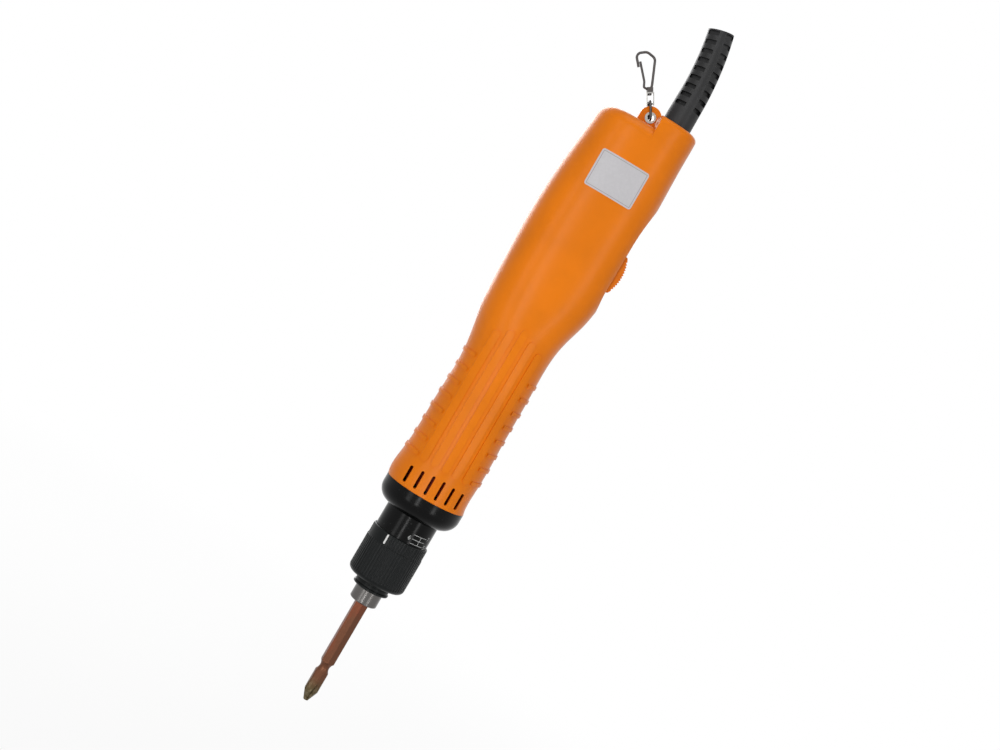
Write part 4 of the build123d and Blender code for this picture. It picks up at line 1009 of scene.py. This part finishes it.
@dataclass
class InnerWorks:
    """Everything behind the housing: chuck parts, clutch, gears, motor, switches and board."""

    metals: dict[WorkedMetal, tuple[str, ...]] = field(
        default_factory=lambda: {
            WorkedMetal("ground_steel", (0.55, 0.55, 0.56), 0.25, Grain.RINGED): (
                "spindle", "detent_ball", "retaining_ring", "spring_seat", "thrust_plate", "clutch_pins",
                "output_bearing", "front_bearing", "rear_bearing", "output_pins", "first_pins",
                "motor_shaft", "push_rod",
            ),
            WorkedMetal("sintered_steel", (0.38, 0.37, 0.36), 0.42, Grain.SPECKLED, 0.2): (
                "ring_gear", "output_carrier", "first_carrier", "output_planet_1", "output_planet_2",
                "output_planet_3", "first_planet_1", "first_planet_2", "first_planet_3",
            ),
            WorkedMetal("sintered_bronze", (0.55, 0.36, 0.16), 0.40, Grain.SPECKLED, 0.2): ("spindle_bush",),
            WorkedMetal("stacked_sheets", (0.22, 0.22, 0.23), 0.45, Grain.RINGED, 0.2): ("rotor_core",),
            WorkedMetal("enamelled_copper", (0.70, 0.26, 0.12), 0.32, Grain.DRAWN, 0.1): (
                "windings", "commutator",
            ),
            WorkedMetal("inner_screw_steel", (0.16, 0.16, 0.17), 0.35, Grain.SPECKLED, 0.2): (
                "inner_screws",
            ),
            WorkedMetal("extruded_aluminium", (0.68, 0.68, 0.70), 0.35, Grain.DRAWN): ("heat_sink",),
        }
    )
    plastics: dict[MouldedPlastic, tuple[str, ...]] = field(
        default_factory=lambda: {
            MouldedPlastic("inner_black", (0.018, 0.018, 0.019), 0.45): (
                "gear_case_cover", "end_bell", "start_plunger", "start_switch", "direction_switch",
                "direction_stem",
            ),
            # The motor can's dark red is painted shade: it stands for the shaded orange walls seen through
            # the vents.
            MouldedPlastic("painted_vent_shade_can", (0.200, 0.012, 0.008), 0.55, 1800.0, gloss=0.15): ("motor_can",),
            MouldedPlastic("ferrite", (0.028, 0.027, 0.027), 0.6, 1500.0): ("magnets",),
            MouldedPlastic("brush_carbon", (0.020, 0.020, 0.021), 0.5, 2200.0): ("brushes",),
            MouldedPlastic("board_resin", (0.012, 0.085, 0.030), 0.35, 900.0): ("control_board",),
            MouldedPlastic("capacitor_sleeve", (0.010, 0.012, 0.035), 0.25, 1800.0): ("capacitors",),
            MouldedPlastic("taped_core", (0.30, 0.22, 0.05), 0.4, 1200.0): ("transformer",),
        }
    )

    def build(self) -> None:
        """Dresses every inner node by the finish that it has."""
        for finish, nodes in (*self.metals.items(), *self.plastics.items()):
            dress(nodes, finish.make())


@dataclass(frozen=True)
class Lamp:
    """A flat soft lamp: its place, power and sides."""

    name: str
    place: tuple[float, float, float]
    power: float
    width: float
    height: float


@dataclass
class Studio:
    """Camera at the photograph's angle, soft lamps, a pale floor and a white world."""

    aim: tuple[float, float, float] = (2.0, 0.0, 126.5)
    distance: float = 750.0
    azimuth: float = -7.0
    elevation: float = 2.5
    roll: float = 30.35
    lens: float = 57.0
    sensor: float = 36.0
    nearest_seen: float = 10.0
    floor_drop: float = 250.0
    floor_side: float = 12000.0
    floor_colour: Colour = (0.85, 0.85, 0.85)
    floor_roughness: float = 0.95
    floor_whiteness: float = 0.84
    shadow_reach: tuple[float, float] = (0.35, 1.3)
    world_light: float = 0.30
    lamps: tuple[Lamp, ...] = (
        Lamp("key_lamp", (-260.0, -1110.0, 160.0), 4.4, 110.0, 1150.0),
        Lamp("left_lamp", (-720.0, -860.0, 200.0), 2.4, 240.0, 1000.0),
        Lamp("side_lamp", (620.0, -900.0, 200.0), 2.7, 150.0, 900.0),
        Lamp("top_lamp", (-60.0, -260.0, 1050.0), 2.4, 600.0, 600.0),
        Lamp("back_lamp", (-300.0, 900.0, 420.0), 5.0, 700.0, 700.0),
    )

    def _camera(self) -> None:
        """Places the camera and turns it by the photograph's roll."""
        side, rise = radians(self.azimuth), radians(self.elevation)
        back = Vector((sin(side) * cos(rise), -cos(side) * cos(rise), sin(rise)))
        data = bpy.data.cameras.new("camera")
        data.lens = self.lens
        data.sensor_width = self.sensor
        data.clip_start = self.nearest_seen * MM
        camera = show("camera", data)
        camera.location = Vector(self.aim) * MM + back * self.distance * MM
        camera.rotation_mode = "QUATERNION"
        turn = Quaternion((0, 0, 1), radians(self.roll))
        camera.rotation_quaternion = (-back).to_track_quat("-Z", "Y") @ turn
        bpy.context.scene.camera = camera

    def _lamp(self, spec: Lamp) -> None:
        """Adds a soft lamp that faces the tool, with its height upright.

        Args:
            spec: its place in millimetres, power in watts and sides in millimetres.
        """
        data = bpy.data.lights.new(spec.name, "AREA")
        data.shape = "RECTANGLE"
        data.energy = spec.power
        data.size = spec.width * MM
        data.size_y = spec.height * MM
        lamp = show(spec.name, data)
        lamp.location = Vector(spec.place) * MM
        lamp.rotation_mode = "QUATERNION"
        lamp.rotation_quaternion = (Vector(self.aim) * MM - lamp.location).to_track_quat("-Z", "Y")

    def _floor(self) -> None:
        """Lays a pale floor under the tool."""
        mesh = bmesh.new()
        bmesh.ops.create_grid(mesh, x_segments=1, y_segments=1, size=self.floor_side / 2 * MM)
        bmesh.ops.translate(mesh, verts=mesh.verts, vec=(0, 0, -self.floor_drop * MM))
        data = bpy.data.meshes.new("studio_floor")
        mesh.to_mesh(data)
        mesh.free()
        shader = Shader("studio_floor")
        shader.feed("Base Color", self.floor_colour)
        shader.feed("Roughness", self.floor_roughness)
        shader.feed("Specular IOR Level", 0.0)
        white = shader.node("ShaderNodeEmission", {}, {"Color": WHITE, "Strength": 1.0})
        reach = shader.node("ShaderNodeVectorMath", {"operation": "LENGTH"}, {0: shader.place})
        far = Flow(shader, reach.outputs["Value"]).ease(self.shadow_reach[0], self.shadow_reach[1])
        whiteness = self.floor_whiteness + (1.0 - self.floor_whiteness) * far
        mixed = shader.node(
            "ShaderNodeMixShader",
            {},
            {
                0: whiteness * seen_white(shader),
                1: Flow(shader, shader.surface.outputs[0]),
                2: Flow(shader, white.outputs[0]),
            },
        )
        shader.tree.links.new(mixed.outputs[0], shader.tree.nodes["Material Output"].inputs["Surface"])
        data.materials.append(shader.material)
        show("studio_floor", data)

    def _world(self) -> None:
        """A plain world: white to the camera and in reflections, and softer as light."""
        world = bpy.data.worlds.new("studio")
        bpy.context.scene.world = world
        world.use_nodes = True
        shader = Nodes(world.node_tree)
        light = world.node_tree.nodes["Background"]
        light.inputs["Color"].default_value = WHITE
        brightness = self.world_light + (1.0 - self.world_light) * seen_white(shader)
        world.node_tree.links.new(brightness.socket, light.inputs["Strength"])

    def build(self) -> None:
        """Sets the camera, the lamps, the floor and the world."""
        self._camera()
        for spec in self.lamps:
            self._lamp(spec)
        self._floor()
        self._world()
        bpy.context.scene.view_settings.view_transform = "Standard"


def dress(nodes: Iterable[str], material: bpy.types.Material) -> None:
    """Gives CAD nodes a material.

    Args:
        nodes: the nodes' names.
        material: their finish.
    """
    for name in nodes:
        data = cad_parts[name].data
        data.materials.clear()
        data.materials.append(material)
        log.info("%s: %s", name, material.name)


def main() -> None:
    """Builds the studio and every sub-assembly in order."""
    logging.basicConfig(level=logging.INFO, format="%(name)s: %(message)s")
    Studio().build()
    for assembly in (
        Housing(), GraduatedCase(), TorqueNut(), Chuck(), DirectionKnob(), StrainRelief(), HangingChain(),
        Springs(), InnerWorks(),
    ):
        log.info("building %s", type(assembly).__name__)
        assembly.build()


if __name__ == "__main__":
    main()
